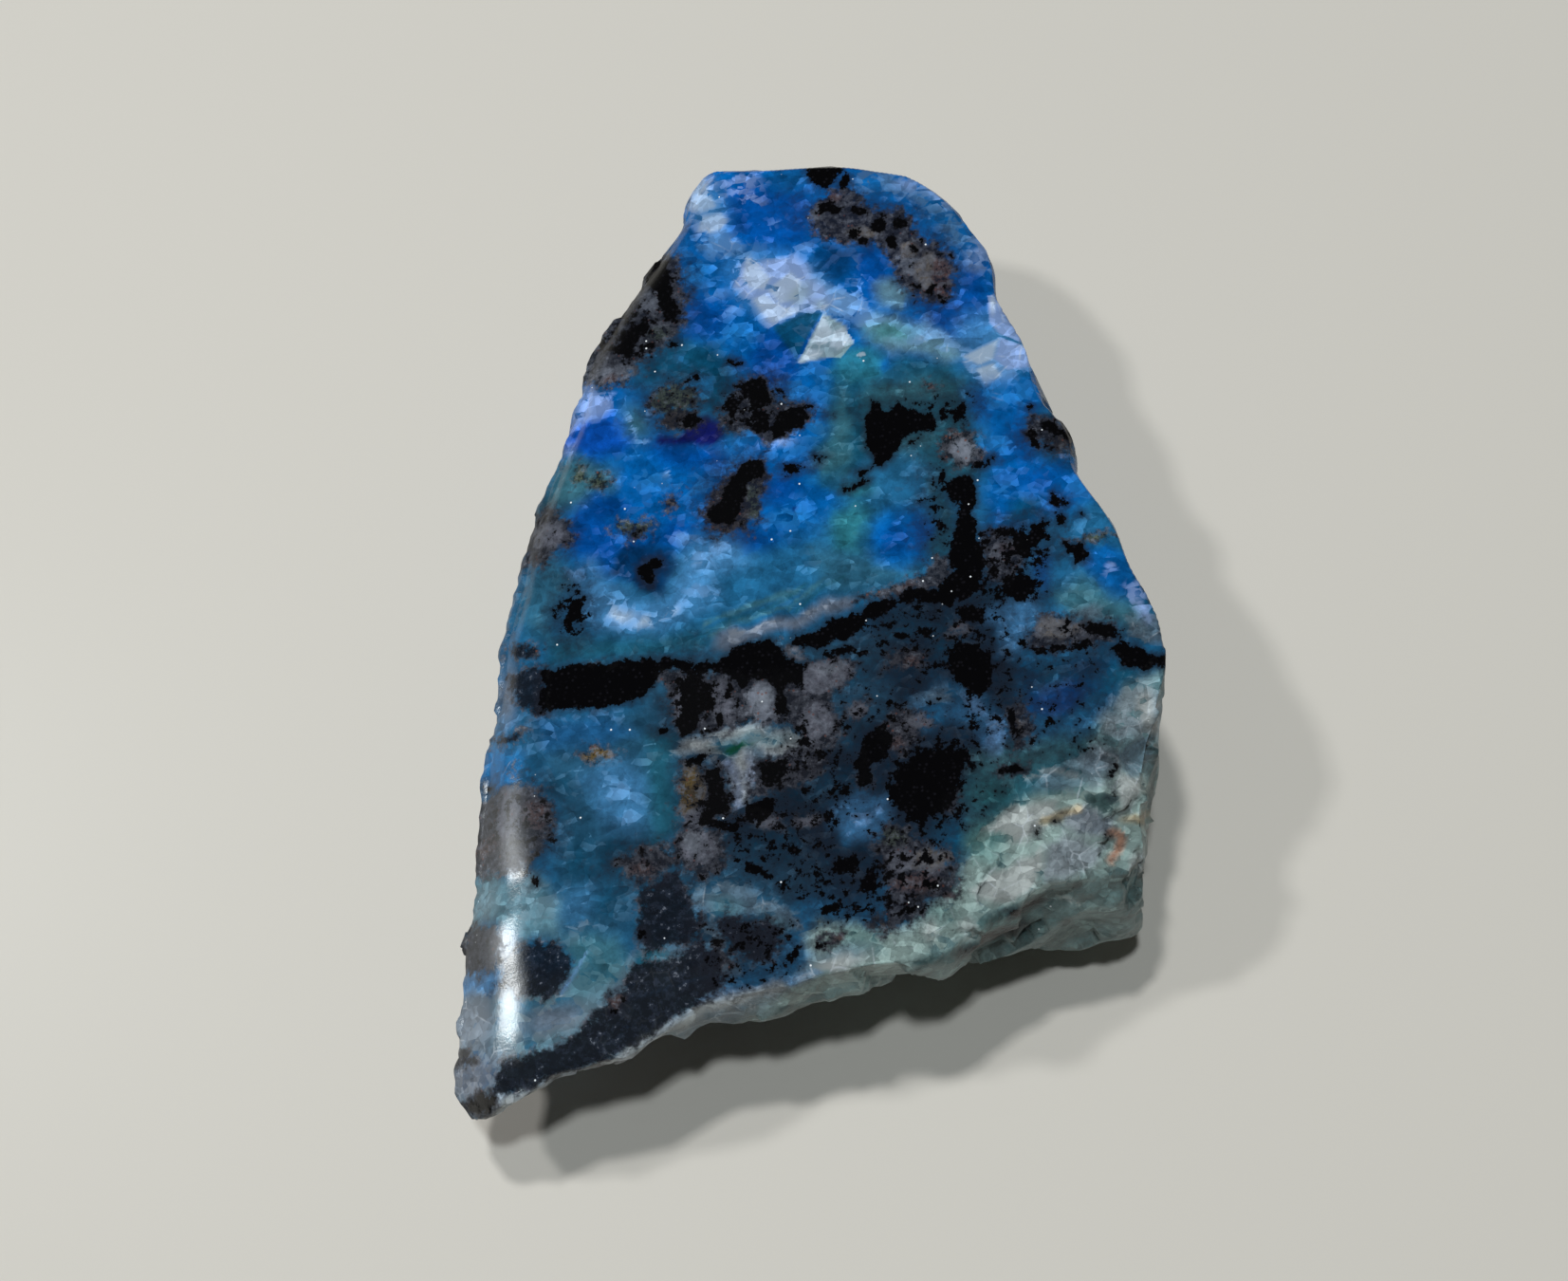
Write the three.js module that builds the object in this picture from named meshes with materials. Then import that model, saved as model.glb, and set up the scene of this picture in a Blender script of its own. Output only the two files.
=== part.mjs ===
// A hand-sized piece of raw azurite in quartz: one solid stone with one polished face.
//
// The stone lies on its broken back. Its upper face is sawn and polished flat, and rises gently to the right.
// Along the left edge the polish rolls down over the edge. The front right corner is broken away below the
// polish and shows sugary quartz. Below the rim the walls are rough fracture, which bulge a little, then cut
// back under the stone to a small flat foot.
//
// Millimetres, +Z up. +X is to the right and +Y to the back, as seen from above with the sharp corner at the
// front left. The origin is on the resting plane, below the middle of the stone's box.
import * as THREE from "three";
import { mergeVertices } from "three/addons/utils/BufferGeometryUtils.js";

// ---- Driving dimensions ----

// The polished plane: its height above the origin, and how much it rises per millimetre along X and Y.
const FACE_HEIGHT = 18.7;
const FACE_RISE_X = 0.17;
const FACE_RISE_Y = -0.037;

// The rim of the upper face in plan, as four edges between four corners.
const LEFT_EDGE = [
  [-24.9, -37.7], [-25.8, -36.6], [-26.3, -34.2], [-26.2, -31.4], [-25.9, -28.8], [-26.2, -26.2],
  [-26.0, -23.8], [-25.0, -21.0], [-25.2, -17.6], [-24.7, -11.6], [-24.7, -9.4], [-24.0, -6.8],
  [-23.6, -4.1], [-23.7, -1.8], [-22.4, 3.5], [-22.2, 5.8], [-20.3, 12.2], [-18.1, 18.6],
  [-17.9, 21.1], [-16.1, 25.2], [-12.3, 31.1], [-10.8, 33.4], [-9.9, 35.5], [-9.5, 37.3], [-8.7, 38.5],
];
const CROWN_EDGE = [
  [-8.7, 38.5], [-7.2, 38.8], [-3.9, 38.6], [2.9, 38.3], [6.0, 37.5], [8.2, 36.8], [10.1, 35.3],
  [11.6, 33.6], [12.8, 31.3], [14.1, 29.6],
];
const RIGHT_EDGE = [
  [24.9, -19.6], [24.5, -17.1], [24.7, -14.9], [25.4, -11.3], [25.9, -8.3], [26.3, -5.3], [26.1, -3.1],
  [25.2, -0.7], [24.0, 2.1], [23.2, 4.9], [20.7, 9.2], [19.9, 10.8], [20.2, 12.0], [19.8, 13.4],
  [17.5, 16.9], [17.2, 18.9], [16.8, 21.0], [14.7, 25.4], [14.5, 27.5], [14.1, 29.6],
];
const FRONT_EDGE = [
  [-24.9, -37.7], [-23.9, -37.8], [-21.0, -36.8], [-19.5, -36.2], [-18.5, -35.3], [-15.8, -35.0],
  [-13.3, -34.1], [-10.8, -32.7], [-10.1, -31.5], [-7.6, -30.5], [-4.1, -29.9], [0.0, -29.1],
  [5.6, -28.2], [8.9, -27.8], [10.4, -27.0], [11.6, -26.0], [12.5, -24.7], [14.5, -23.5],
  [16.6, -22.3], [19.4, -21.5], [23.0, -20.5], [24.9, -19.6],
];

// The left roll: its width and its fall at the edge, at the sharp corner and on the upper half.
const ROLL_WIDTH = { corner: 7.0, upper: 2.4 };
const ROLL_FALL = { corner: 4.0, upper: 1.2 };
const ROLL_FROM_Y = -34;
const ROLL_TO_Y = 4;
// How far the rest of the rim is eased down by wear.
const RIM_EASE = 0.35;

// The broken corner lies where x - y is over this, and falls away from the polish at this slope.
const BREAK_LINE = 31.0;
const BREAK_SLOPE = 0.44;

// The walls, station by station round the rim. at counts edges: 0 is the sharp corner, 0 to 1 the front edge,
// 1 to 2 the right edge going back, 2 to 3 the crown going left, and 3 to 4 the left edge coming forward.
// bulge is how far the wall stands out past the rim along X and Y, and fall how far below the rim that is.
// foot is the plan scale of the foot about FOOT_CENTRE, and lift how high the foot's outline stands.
const FOOT_CENTRE = [1.5, -4.0];
const WALL = [
  { at: 0.0, bulge: [0.0, 0.0], fall: 1.4, foot: 0.5, lift: 3.6 },
  { at: 0.16, bulge: [0.1, 0.1], fall: 1.5, foot: 0.52, lift: 3.4 },
  { at: 0.275, bulge: [0.4, -0.1], fall: 2.2, foot: 0.55, lift: 3.2 },
  { at: 0.295, bulge: [0.6, -1.9], fall: 3.8, foot: 0.58, lift: 3.0 },
  { at: 0.4, bulge: [0.3, -2.5], fall: 4.8, foot: 0.62, lift: 2.6 },
  { at: 0.47, bulge: [0.1, -1.9], fall: 4.8, foot: 0.65, lift: 2.4 },
  { at: 0.57, bulge: [0.0, -0.5], fall: 4.4, foot: 0.68, lift: 2.2 },
  { at: 0.7, bulge: [0.4, -0.2], fall: 7.0, foot: 0.73, lift: 1.8 },
  { at: 0.79, bulge: [0.6, -2.6], fall: 11.8, foot: 0.8, lift: 1.4 },
  { at: 0.88, bulge: [-0.2, -3.0], fall: 13.6, foot: 0.86, lift: 1.2 },
  { at: 1.0, bulge: [1.0, -3.0], fall: 13.4, foot: 0.88, lift: 1.2 },
  { at: 1.09, bulge: [0.9, -1.2], fall: 11.5, foot: 0.86, lift: 1.6 },
  { at: 1.2, bulge: [0.0, 0.0], fall: 9.0, foot: 0.84, lift: 1.8 },
  { at: 1.45, bulge: [0.4, 0.2], fall: 8.0, foot: 0.8, lift: 2.2 },
  { at: 1.75, bulge: [0.5, 0.3], fall: 6.0, foot: 0.76, lift: 2.4 },
  { at: 2.0, bulge: [0.4, 0.4], fall: 5.0, foot: 0.76, lift: 2.6 },
  { at: 2.5, bulge: [0.0, 0.2], fall: 3.6, foot: 0.76, lift: 2.8 },
  { at: 3.0, bulge: [-0.1, 0.1], fall: 2.6, foot: 0.74, lift: 2.6 },
  { at: 3.15, bulge: [-0.6, 0.3], fall: 2.8, foot: 0.73, lift: 2.5 },
  { at: 3.32, bulge: [-0.4, 0.2], fall: 2.4, foot: 0.72, lift: 2.4 },
  { at: 3.45, bulge: [-0.1, 0.0], fall: 2.2, foot: 0.7, lift: 2.4 },
  { at: 3.75, bulge: [-0.1, 0.0], fall: 2.0, foot: 0.6, lift: 3.0 },
  { at: 4.0, bulge: [0.0, 0.0], fall: 1.4, foot: 0.5, lift: 3.6 },
];

// How deep the underside sinks towards the resting plane, past which it is worn flat.
const FOOT_SINK = 6.5;

// Rough fracture: height and wavelength of its lumps and of its smaller knobs.
const LUMP = { height: 1.1, length: 8.0 };
const KNOB = { height: 0.38, length: 3.4 };

// Flakes struck off the walls and the underside: how many, how wide and how deep.
const FLAKES = 170;
const FLAKE_RADIUS = [2.0, 6.5];
const FLAKE_DEPTH = [0.25, 1.0];
// No flake takes off more than this at any point.
const FLAKE_MOST = 1.6;

// Flakes that give the broken corner its shape: the middle of each, its radius and its depth.
const CORNER_FLAKES = [
  { x: 24.6, y: -12.2, radius: 3.4, depth: 1.1 },
  { x: 14.5, y: -15.5, radius: 4.6, depth: 0.9 },
  { x: 20.0, y: -15.2, radius: 2.8, depth: 0.8 },
  { x: 13.2, y: -21.8, radius: 3.6, depth: 0.9 },
  { x: 23.6, y: -20.4, radius: 2.6, depth: 0.7 },
];
// Knolls left standing on the broken corner.
const CORNER_KNOLLS = [
  { x: 18.6, y: -20.4, radius: 3.0, height: 0.8 },
  { x: 22.3, y: -15.4, radius: 1.8, height: 0.8 },
  { x: 17.0, y: -18.0, radius: 1.8, height: 0.5 },
  { x: 24.0, y: -17.6, radius: 1.6, height: 0.5 },
];

// The middle of the stone's box in the plan's coordinates, which becomes the origin.
const MIDDLE = [0.0, 0.62];

// Faces of the mesh across, along and up the stone.
const ACROSS = 34;
const ALONG = 46;
const UP = 10;

// ---- Small helpers ----

const { lerp, smoothstep, clamp } = THREE.MathUtils;

function makeRandom(seed) {
  let state = seed;
  return () => {
    state = (state * 1664525 + 1013904223) % 4294967296;
    return state / 4294967296;
  };
}

// A repeatable number from 0 to 1 for a corner of the noise lattice.
function latticeValue(i, j, k) {
  const wave = Math.sin(i * 127.1 + j * 311.7 + k * 74.7) * 43758.5453;
  return wave - Math.floor(wave);
}

// Smooth value noise from -1 to 1.
function noise(x, y, z) {
  const [i, j, k] = [Math.floor(x), Math.floor(y), Math.floor(z)];
  const ease = (t) => t * t * (3 - 2 * t);
  const [fx, fy, fz] = [ease(x - i), ease(y - j), ease(z - k)];
  const along = (b, c) => lerp(latticeValue(i, j + b, k + c), latticeValue(i + 1, j + b, k + c), fx);
  const value = lerp(lerp(along(0, 0), along(1, 0), fy), lerp(along(0, 1), along(1, 1), fy), fz);
  return 2 * value - 1;
}

// ---- Plan of the upper face ----

function edgeCurve(points) {
  return new THREE.CatmullRomCurve3(
    points.map(([x, y]) => new THREE.Vector3(x, y, 0)),
    false,
    "centripetal",
  );
}

const edges = {
  left: edgeCurve(LEFT_EDGE),
  right: edgeCurve(RIGHT_EDGE),
  front: edgeCurve(FRONT_EDGE),
  crown: edgeCurve(CROWN_EDGE),
};

// Fills in between four edges, each a function of its own parameter, as a Coons patch.
function coons(u, v, front, crown, left, right) {
  const mix = (a, b, t) => a.clone().lerp(b, t);
  const acrossway = mix(left(v), right(v), u);
  const lengthway = mix(front(u), crown(u), v);
  const corners = mix(mix(front(0), front(1), u), mix(crown(0), crown(1), u), v);
  return acrossway.add(lengthway).sub(corners);
}

function planPoint(u, v) {
  return coons(
    u, v,
    (t) => edges.front.getPointAt(t),
    (t) => edges.crown.getPointAt(t),
    (t) => edges.left.getPointAt(t),
    (t) => edges.right.getPointAt(t),
  );
}

// The x of the left edge at a given y.
function leftEdgeX(y) {
  const next = LEFT_EDGE.findIndex((p) => p[1] >= y);
  if (next <= 0) return LEFT_EDGE[next < 0 ? LEFT_EDGE.length - 1 : 0][0];
  const [a, b] = [LEFT_EDGE[next - 1], LEFT_EDGE[next]];
  return lerp(a[0], b[0], (y - a[1]) / (b[1] - a[1]));
}

// ---- Upper face ----

function polishHeight(x, y) {
  const plane = FACE_HEIGHT + FACE_RISE_X * x + FACE_RISE_Y * y;
  const up = smoothstep(y, ROLL_FROM_Y, ROLL_TO_Y);
  const width = lerp(ROLL_WIDTH.corner, ROLL_WIDTH.upper, up);
  const fall = lerp(ROLL_FALL.corner, ROLL_FALL.upper, up);
  const inside = clamp((x - leftEdgeX(y)) / width, 0, 1);
  return plane - fall * (1 - inside) ** 2;
}

// The broken corner's height. It is over the polish inside the break line, so that the lower of the two counts.
function brokenHeight(x, y) {
  const beyond = (x - y - BREAK_LINE) / Math.SQRT2;
  let height = polishHeight(x, y) - BREAK_SLOPE * beyond;
  height += 0.7 * noise(x / 4.1, y / 4.1, 3.5) + 0.3 * noise(x / 1.9, y / 1.9, 8.5);
  for (const flake of CORNER_FLAKES) {
    const reach = Math.hypot(x - flake.x, y - flake.y) / flake.radius;
    height -= flake.depth * Math.max(0, 1 - reach * reach);
  }
  for (const knoll of CORNER_KNOLLS) {
    const reach = Math.hypot(x - knoll.x, y - knoll.y) / knoll.radius;
    height += knoll.height * Math.max(0, 1 - reach);
  }
  return height;
}

function upperHeight(x, y, atRim) {
  return Math.min(polishHeight(x, y) - (atRim ? RIM_EASE : 0), brokenHeight(x, y));
}

// ---- Walls and underside ----

// Where a point of the rim lies in the count of WALL.
function roundTheRim(u, v) {
  const nearest = Math.min(v, 1 - u, 1 - v, u);
  if (nearest === v) return u;
  if (nearest === 1 - u) return 1 + v;
  if (nearest === 1 - v) return 3 - u;
  return 4 - v;
}

function wallAt(at) {
  const next = WALL.findIndex((station) => station.at >= at && station.at > 0);
  const [a, b] = [WALL[next - 1], WALL[next]];
  const t = smoothstep(at, a.at, b.at);
  return {
    bulgeX: lerp(a.bulge[0], b.bulge[0], t),
    bulgeY: lerp(a.bulge[1], b.bulge[1], t),
    fall: lerp(a.fall, b.fall, t),
    foot: lerp(a.foot, b.foot, t),
    lift: lerp(a.lift, b.lift, t),
  };
}

const footCentre = new THREE.Vector3(...FOOT_CENTRE, 0);

function rimPoint(u, v) {
  const p = planPoint(u, v);
  return p.setZ(upperHeight(p.x, p.y, true));
}

// The outline of the foot, under the rim's point at (u, v).
function footPoint(u, v) {
  const { foot, lift } = wallAt(roundTheRim(u, v));
  const p = planPoint(u, v).sub(footCentre).multiplyScalar(foot).add(footCentre);
  return p.setZ(lift);
}

// The wall's profile at (u, v), from 0 at the rim to 1 at the foot's outline, in steps of equal length.
function wallPoint(u, v, down) {
  const { bulgeX, bulgeY, fall } = wallAt(roundTheRim(u, v));
  const rim = rimPoint(u, v);
  const belly = rim.clone().add(new THREE.Vector3(bulgeX, bulgeY, -fall));
  const foot = footPoint(u, v);
  const above = rim.distanceTo(belly);
  const share = clamp(above / (above + belly.distanceTo(foot)), 0.12, 0.6);
  if (down <= share) {
    const t = down / share;
    return rim.lerp(belly, t).add(new THREE.Vector3(bulgeX, bulgeY, 0).multiplyScalar(0.8 * t * (1 - t)));
  }
  return belly.lerp(foot, (down - share) / (1 - share));
}

function undersidePoint(u, v) {
  const p = coons(
    u, v,
    (t) => footPoint(t, 0),
    (t) => footPoint(t, 1),
    (t) => footPoint(0, t),
    (t) => footPoint(1, t),
  );
  const inwards = 4 * Math.min(u * (1 - u), v * (1 - v));
  return p.setZ(p.z - FOOT_SINK * inwards ** 1.6);
}

// ---- The whole surface ----

function stonePoint(box) {
  const [u, v] = [(box.x + 1) / 2, (box.y + 1) / 2];
  const onWall = Math.abs(box.x) > 1 - 1e-6 || Math.abs(box.y) > 1 - 1e-6;
  if (onWall) return wallPoint(u, v, (1 - box.z) / 2);
  if (box.z < 0) return undersidePoint(u, v);
  const p = planPoint(u, v);
  return p.setZ(upperHeight(p.x, p.y, false));
}

// How rough a point may be: 0 on the upper face and its rim, 1 from the second ring of the wall down.
function roughness(box) {
  return clamp(((1 - box.z) / 2) * UP * 0.6, 0, 1);
}

function roughen(geometry, rough) {
  geometry.computeVertexNormals();
  const { position, normal } = geometry.attributes;
  for (let i = 0; i < position.count; i++) {
    const p = new THREE.Vector3().fromBufferAttribute(position, i);
    const n = new THREE.Vector3().fromBufferAttribute(normal, i);
    const lump = LUMP.height * noise(p.x / LUMP.length, p.y / LUMP.length, p.z / LUMP.length);
    const knob = KNOB.height * noise(p.x / KNOB.length, p.y / KNOB.length, p.z / KNOB.length + 40);
    p.addScaledVector(n, rough[i] * (lump + knob));
    position.setXYZ(i, p.x, p.y, p.z);
  }
}

// Strikes flakes off the rough surface: inside its radius, each flake cuts what stands over its plane.
function strikeFlakes(geometry, rough) {
  const random = makeRandom(11);
  const pick = ([low, high]) => lerp(low, high, random());
  for (let count = 0; count < FLAKES; count++) {
    geometry.computeVertexNormals();
    const { position, normal } = geometry.attributes;
    let struck = 0;
    do struck = Math.floor(random() * position.count);
    while (rough[struck] < 1);
    const middle = new THREE.Vector3().fromBufferAttribute(position, struck);
    const tilt = new THREE.Vector3(random() - 0.5, random() - 0.5, random() - 0.5);
    const n = new THREE.Vector3().fromBufferAttribute(normal, struck).addScaledVector(tilt, 0.7).normalize();
    const [radius, depth] = [pick(FLAKE_RADIUS), pick(FLAKE_DEPTH)];
    for (let i = 0; i < position.count; i++) {
      const p = new THREE.Vector3().fromBufferAttribute(position, i);
      const away = p.distanceTo(middle) / radius;
      const over = p.clone().sub(middle).dot(n) + depth;
      if (away > 1 || over < 0) continue;
      const taken = Math.min(over, FLAKE_MOST) * Math.min(1, 4 * (1 - away));
      p.addScaledVector(n, -rough[i] * taken);
      position.setXYZ(i, p.x, p.y, p.z);
    }
  }
}

// The vertices joined to each vertex by an edge.
function neighboursOf(geometry) {
  const joined = Array.from({ length: geometry.attributes.position.count }, () => new Set());
  const { array } = geometry.index;
  for (let i = 0; i < array.length; i += 3) {
    for (const [a, b] of [[0, 1], [1, 2], [2, 0]]) {
      joined[array[i + a]].add(array[i + b]);
      joined[array[i + b]].add(array[i + a]);
    }
  }
  return joined;
}

// Slides the rough surface's vertices along it until they are evenly spread. A little of the move may leave
// the surface, which also eases its sharpest folds.
function spread(geometry, rough, rounds, easing) {
  const joined = neighboursOf(geometry);
  const { position } = geometry.attributes;
  for (let round = 0; round < rounds; round++) {
    geometry.computeVertexNormals();
    const moved = joined.map((neighbours, i) => {
      const p = new THREE.Vector3().fromBufferAttribute(position, i);
      const n = new THREE.Vector3().fromBufferAttribute(geometry.attributes.normal, i);
      const step = new THREE.Vector3();
      for (const j of neighbours) step.add(new THREE.Vector3().fromBufferAttribute(position, j));
      step.divideScalar(neighbours.size).sub(p);
      step.addScaledVector(n, (easing - 1) * step.dot(n));
      return p.addScaledVector(step, 0.5 * rough[i]);
    });
    moved.forEach((p, i) => position.setXYZ(i, p.x, p.y, p.z));
  }
}

// Wears everything below the resting plane flat.
function restOnPlane(geometry) {
  const { position } = geometry.attributes;
  for (let i = 0; i < position.count; i++) position.setZ(i, Math.max(0, position.getZ(i)));
}

function stoneGeometry() {
  const box = new THREE.BoxGeometry(2, 2, 2, ACROSS, ALONG, UP);
  box.deleteAttribute("normal");
  box.deleteAttribute("uv");
  const geometry = mergeVertices(box);
  const { position } = geometry.attributes;
  const rough = [];
  for (let i = 0; i < position.count; i++) {
    const corner = new THREE.Vector3().fromBufferAttribute(position, i);
    const p = stonePoint(corner);
    rough.push(roughness(corner));
    position.setXYZ(i, p.x, p.y, p.z);
  }
  spread(geometry, rough, 12, 0.1);
  roughen(geometry, rough);
  strikeFlakes(geometry, rough);
  spread(geometry, rough, 3, 0.06);
  restOnPlane(geometry);
  geometry.translate(-MIDDLE[0], -MIDDLE[1], 0);
  geometry.computeVertexNormals();
  return geometry;
}

const stone = new THREE.Mesh(
  stoneGeometry(),
  new THREE.MeshStandardMaterial({ color: 0x2f6fa6, roughness: 0.35, metalness: 0 }),
);
stone.name = "azurite_stone";

const part = new THREE.Group();
part.add(stone);
export default part;
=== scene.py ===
import functools
import math

import bmesh
import bpy
import numpy as np
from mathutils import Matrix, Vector, kdtree, noise


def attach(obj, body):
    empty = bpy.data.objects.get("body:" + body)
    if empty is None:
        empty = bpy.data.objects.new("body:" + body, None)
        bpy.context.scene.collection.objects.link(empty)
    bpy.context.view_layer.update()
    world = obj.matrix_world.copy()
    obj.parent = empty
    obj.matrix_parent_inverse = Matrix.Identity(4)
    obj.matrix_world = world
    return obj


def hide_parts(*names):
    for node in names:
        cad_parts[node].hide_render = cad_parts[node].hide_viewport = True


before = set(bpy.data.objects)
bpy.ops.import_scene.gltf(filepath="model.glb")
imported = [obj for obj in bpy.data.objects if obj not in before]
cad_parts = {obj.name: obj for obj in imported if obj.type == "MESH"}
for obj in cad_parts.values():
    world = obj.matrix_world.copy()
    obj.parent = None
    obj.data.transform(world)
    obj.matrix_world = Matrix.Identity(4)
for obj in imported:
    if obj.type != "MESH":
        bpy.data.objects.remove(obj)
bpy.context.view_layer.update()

MM = 0.001

# ---- Driving sizes of the stone, in millimetres ----

# The polished plane: its height at the plan's zero, and its rise per millimetre along X and Y.
FACE_HEIGHT, FACE_RISE_X, FACE_RISE_Y = 18.7, 0.17, -0.037
# The plan's zero in the frame. The mineral layout below is drawn in the plan's coordinates.
PLAN_ZERO = np.array([0.0, -0.62, 0.0])
# The front right corner is broken where x - y is over this.
BREAK_LINE = 31.0
# Veins run down through the stone and close in on this point, which lies this high over the face.
VEINS_MEET = (-1.9, -83.0)
VEINS_MEET_HEIGHT = 222.0

# ---- Minerals, as sRGB hex ----

MINERALS = {
    "azure": "#0257a0",        # quartz stained through by azurite
    "light azure": "#0e6bab",
    "violet azure": "#0a4cb4",
    "deep azure": "#01428e",
    "navy": "#042e58",
    "night": "#081f30",        # azurite crowded with ore dust
    "indigo": "#0e0a52",
    "steel": "#1c5a84",        # thinner stain, a little grey
    "pale steel": "#417cb0",
    # Pale blue, quartz and frost also paint a few glints, and frost the white highlights on the broken
    # corner's facets.
    "pale blue": "#6a97cc",
    "lavender": "#89a2d6",
    "quartz": "#b4c6d8",       # milky quartz
    "frost": "#a2a8aa",        # the broken corner's bruised quartz
    "smoke": "#7c8490",
    "slate": "#224d6a",
    "deep teal": "#084462",    # copper silicate
    "teal": "#1c5266",
    "grey teal": "#366472",
    "pale teal": "#648b96",
    "sea green": "#2f7a7a",
    "emerald": "#053c2a",
    "pale green": "#8a9f9d",
    "wall green": "#5a7375",
    "dark green": "#2c4244",
    "mauve": "#3f4149",        # fine matrix between the ore grains
    "pink grey": "#656774",
    "ash": "#656b78",
    "mist": "#566a7a",
    "dun": "#6f6963",
    "rust": "#54423f",
    "brown": "#3a3532",
    "olive": "#404a3f",
    "gold": "#5c4c26",
    "tan": "#958a72",
    "orange": "#b98a72",
    "soot": "#1a1e28",
}


def linear(colour):
    """The linear colour of an sRGB hex value."""
    channels = [int(colour[i:i + 2], 16) / 255 for i in (1, 3, 5)]
    return tuple(c / 12.92 if c <= 0.04045 else ((c + 0.055) / 1.055) ** 2.4 for c in channels)


# Minerals that lie in the stain as separate milky crystals with crisp sides.
MILKY = ("quartz", "frost", "smoke", "mist", "lavender", "pale blue", "pale green", "light azure")

# ---- Marks: shapes of the mineral layout ----
# Each returns a function that gives how deep points lie inside the shape, in millimetres. The corners of a
# patch and the points of a streak are given as x, y, x, y and so on.

def oval(x, y, half_long, half_wide=None, turn=0.0):
    half_wide = half_wide or half_long
    cos, sin = math.cos(math.radians(turn)), math.sin(math.radians(turn))

    def depth(px, py):
        along = (cos * (px - x) + sin * (py - y)) / half_long
        across = (cos * (py - y) - sin * (px - x)) / half_wide
        return (1 - np.hypot(along, across)) * min(half_long, half_wide)

    return depth


def line_distance(px, py, start, end):
    """How far points lie from the straight line between two points."""
    (ax, ay), (bx, by) = start, end
    dx, dy = bx - ax, by - ay
    share = np.clip(((px - ax) * dx + (py - ay) * dy) / (dx * dx + dy * dy), 0, 1)
    return np.hypot(px - ax - share * dx, py - ay - share * dy)


def pairs(numbers):
    return list(zip(numbers[::2], numbers[1::2]))


def patch(*numbers):
    corners = pairs(numbers)

    def depth(px, py):
        nearest = np.full_like(px, np.inf)
        within = np.zeros(px.shape, bool)
        for start, end in zip(corners, corners[1:] + corners[:1]):
            nearest = np.minimum(nearest, line_distance(px, py, start, end))
            (ax, ay), (bx, by) = start, end
            if ay != by:
                crosses = (ay > py) != (by > py)
                within ^= crosses & (px < ax + (py - ay) * (bx - ax) / (by - ay))
        return np.where(within, nearest, -nearest)

    return depth


def streak(half_width, *numbers):
    points = pairs(numbers)

    def depth(px, py):
        legs = [line_distance(px, py, a, b) for a, b in zip(points, points[1:])]
        return half_width - np.minimum.reduce(legs)

    return depth


# ---- Mineral layout of the stone, in plan millimetres ----

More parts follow.
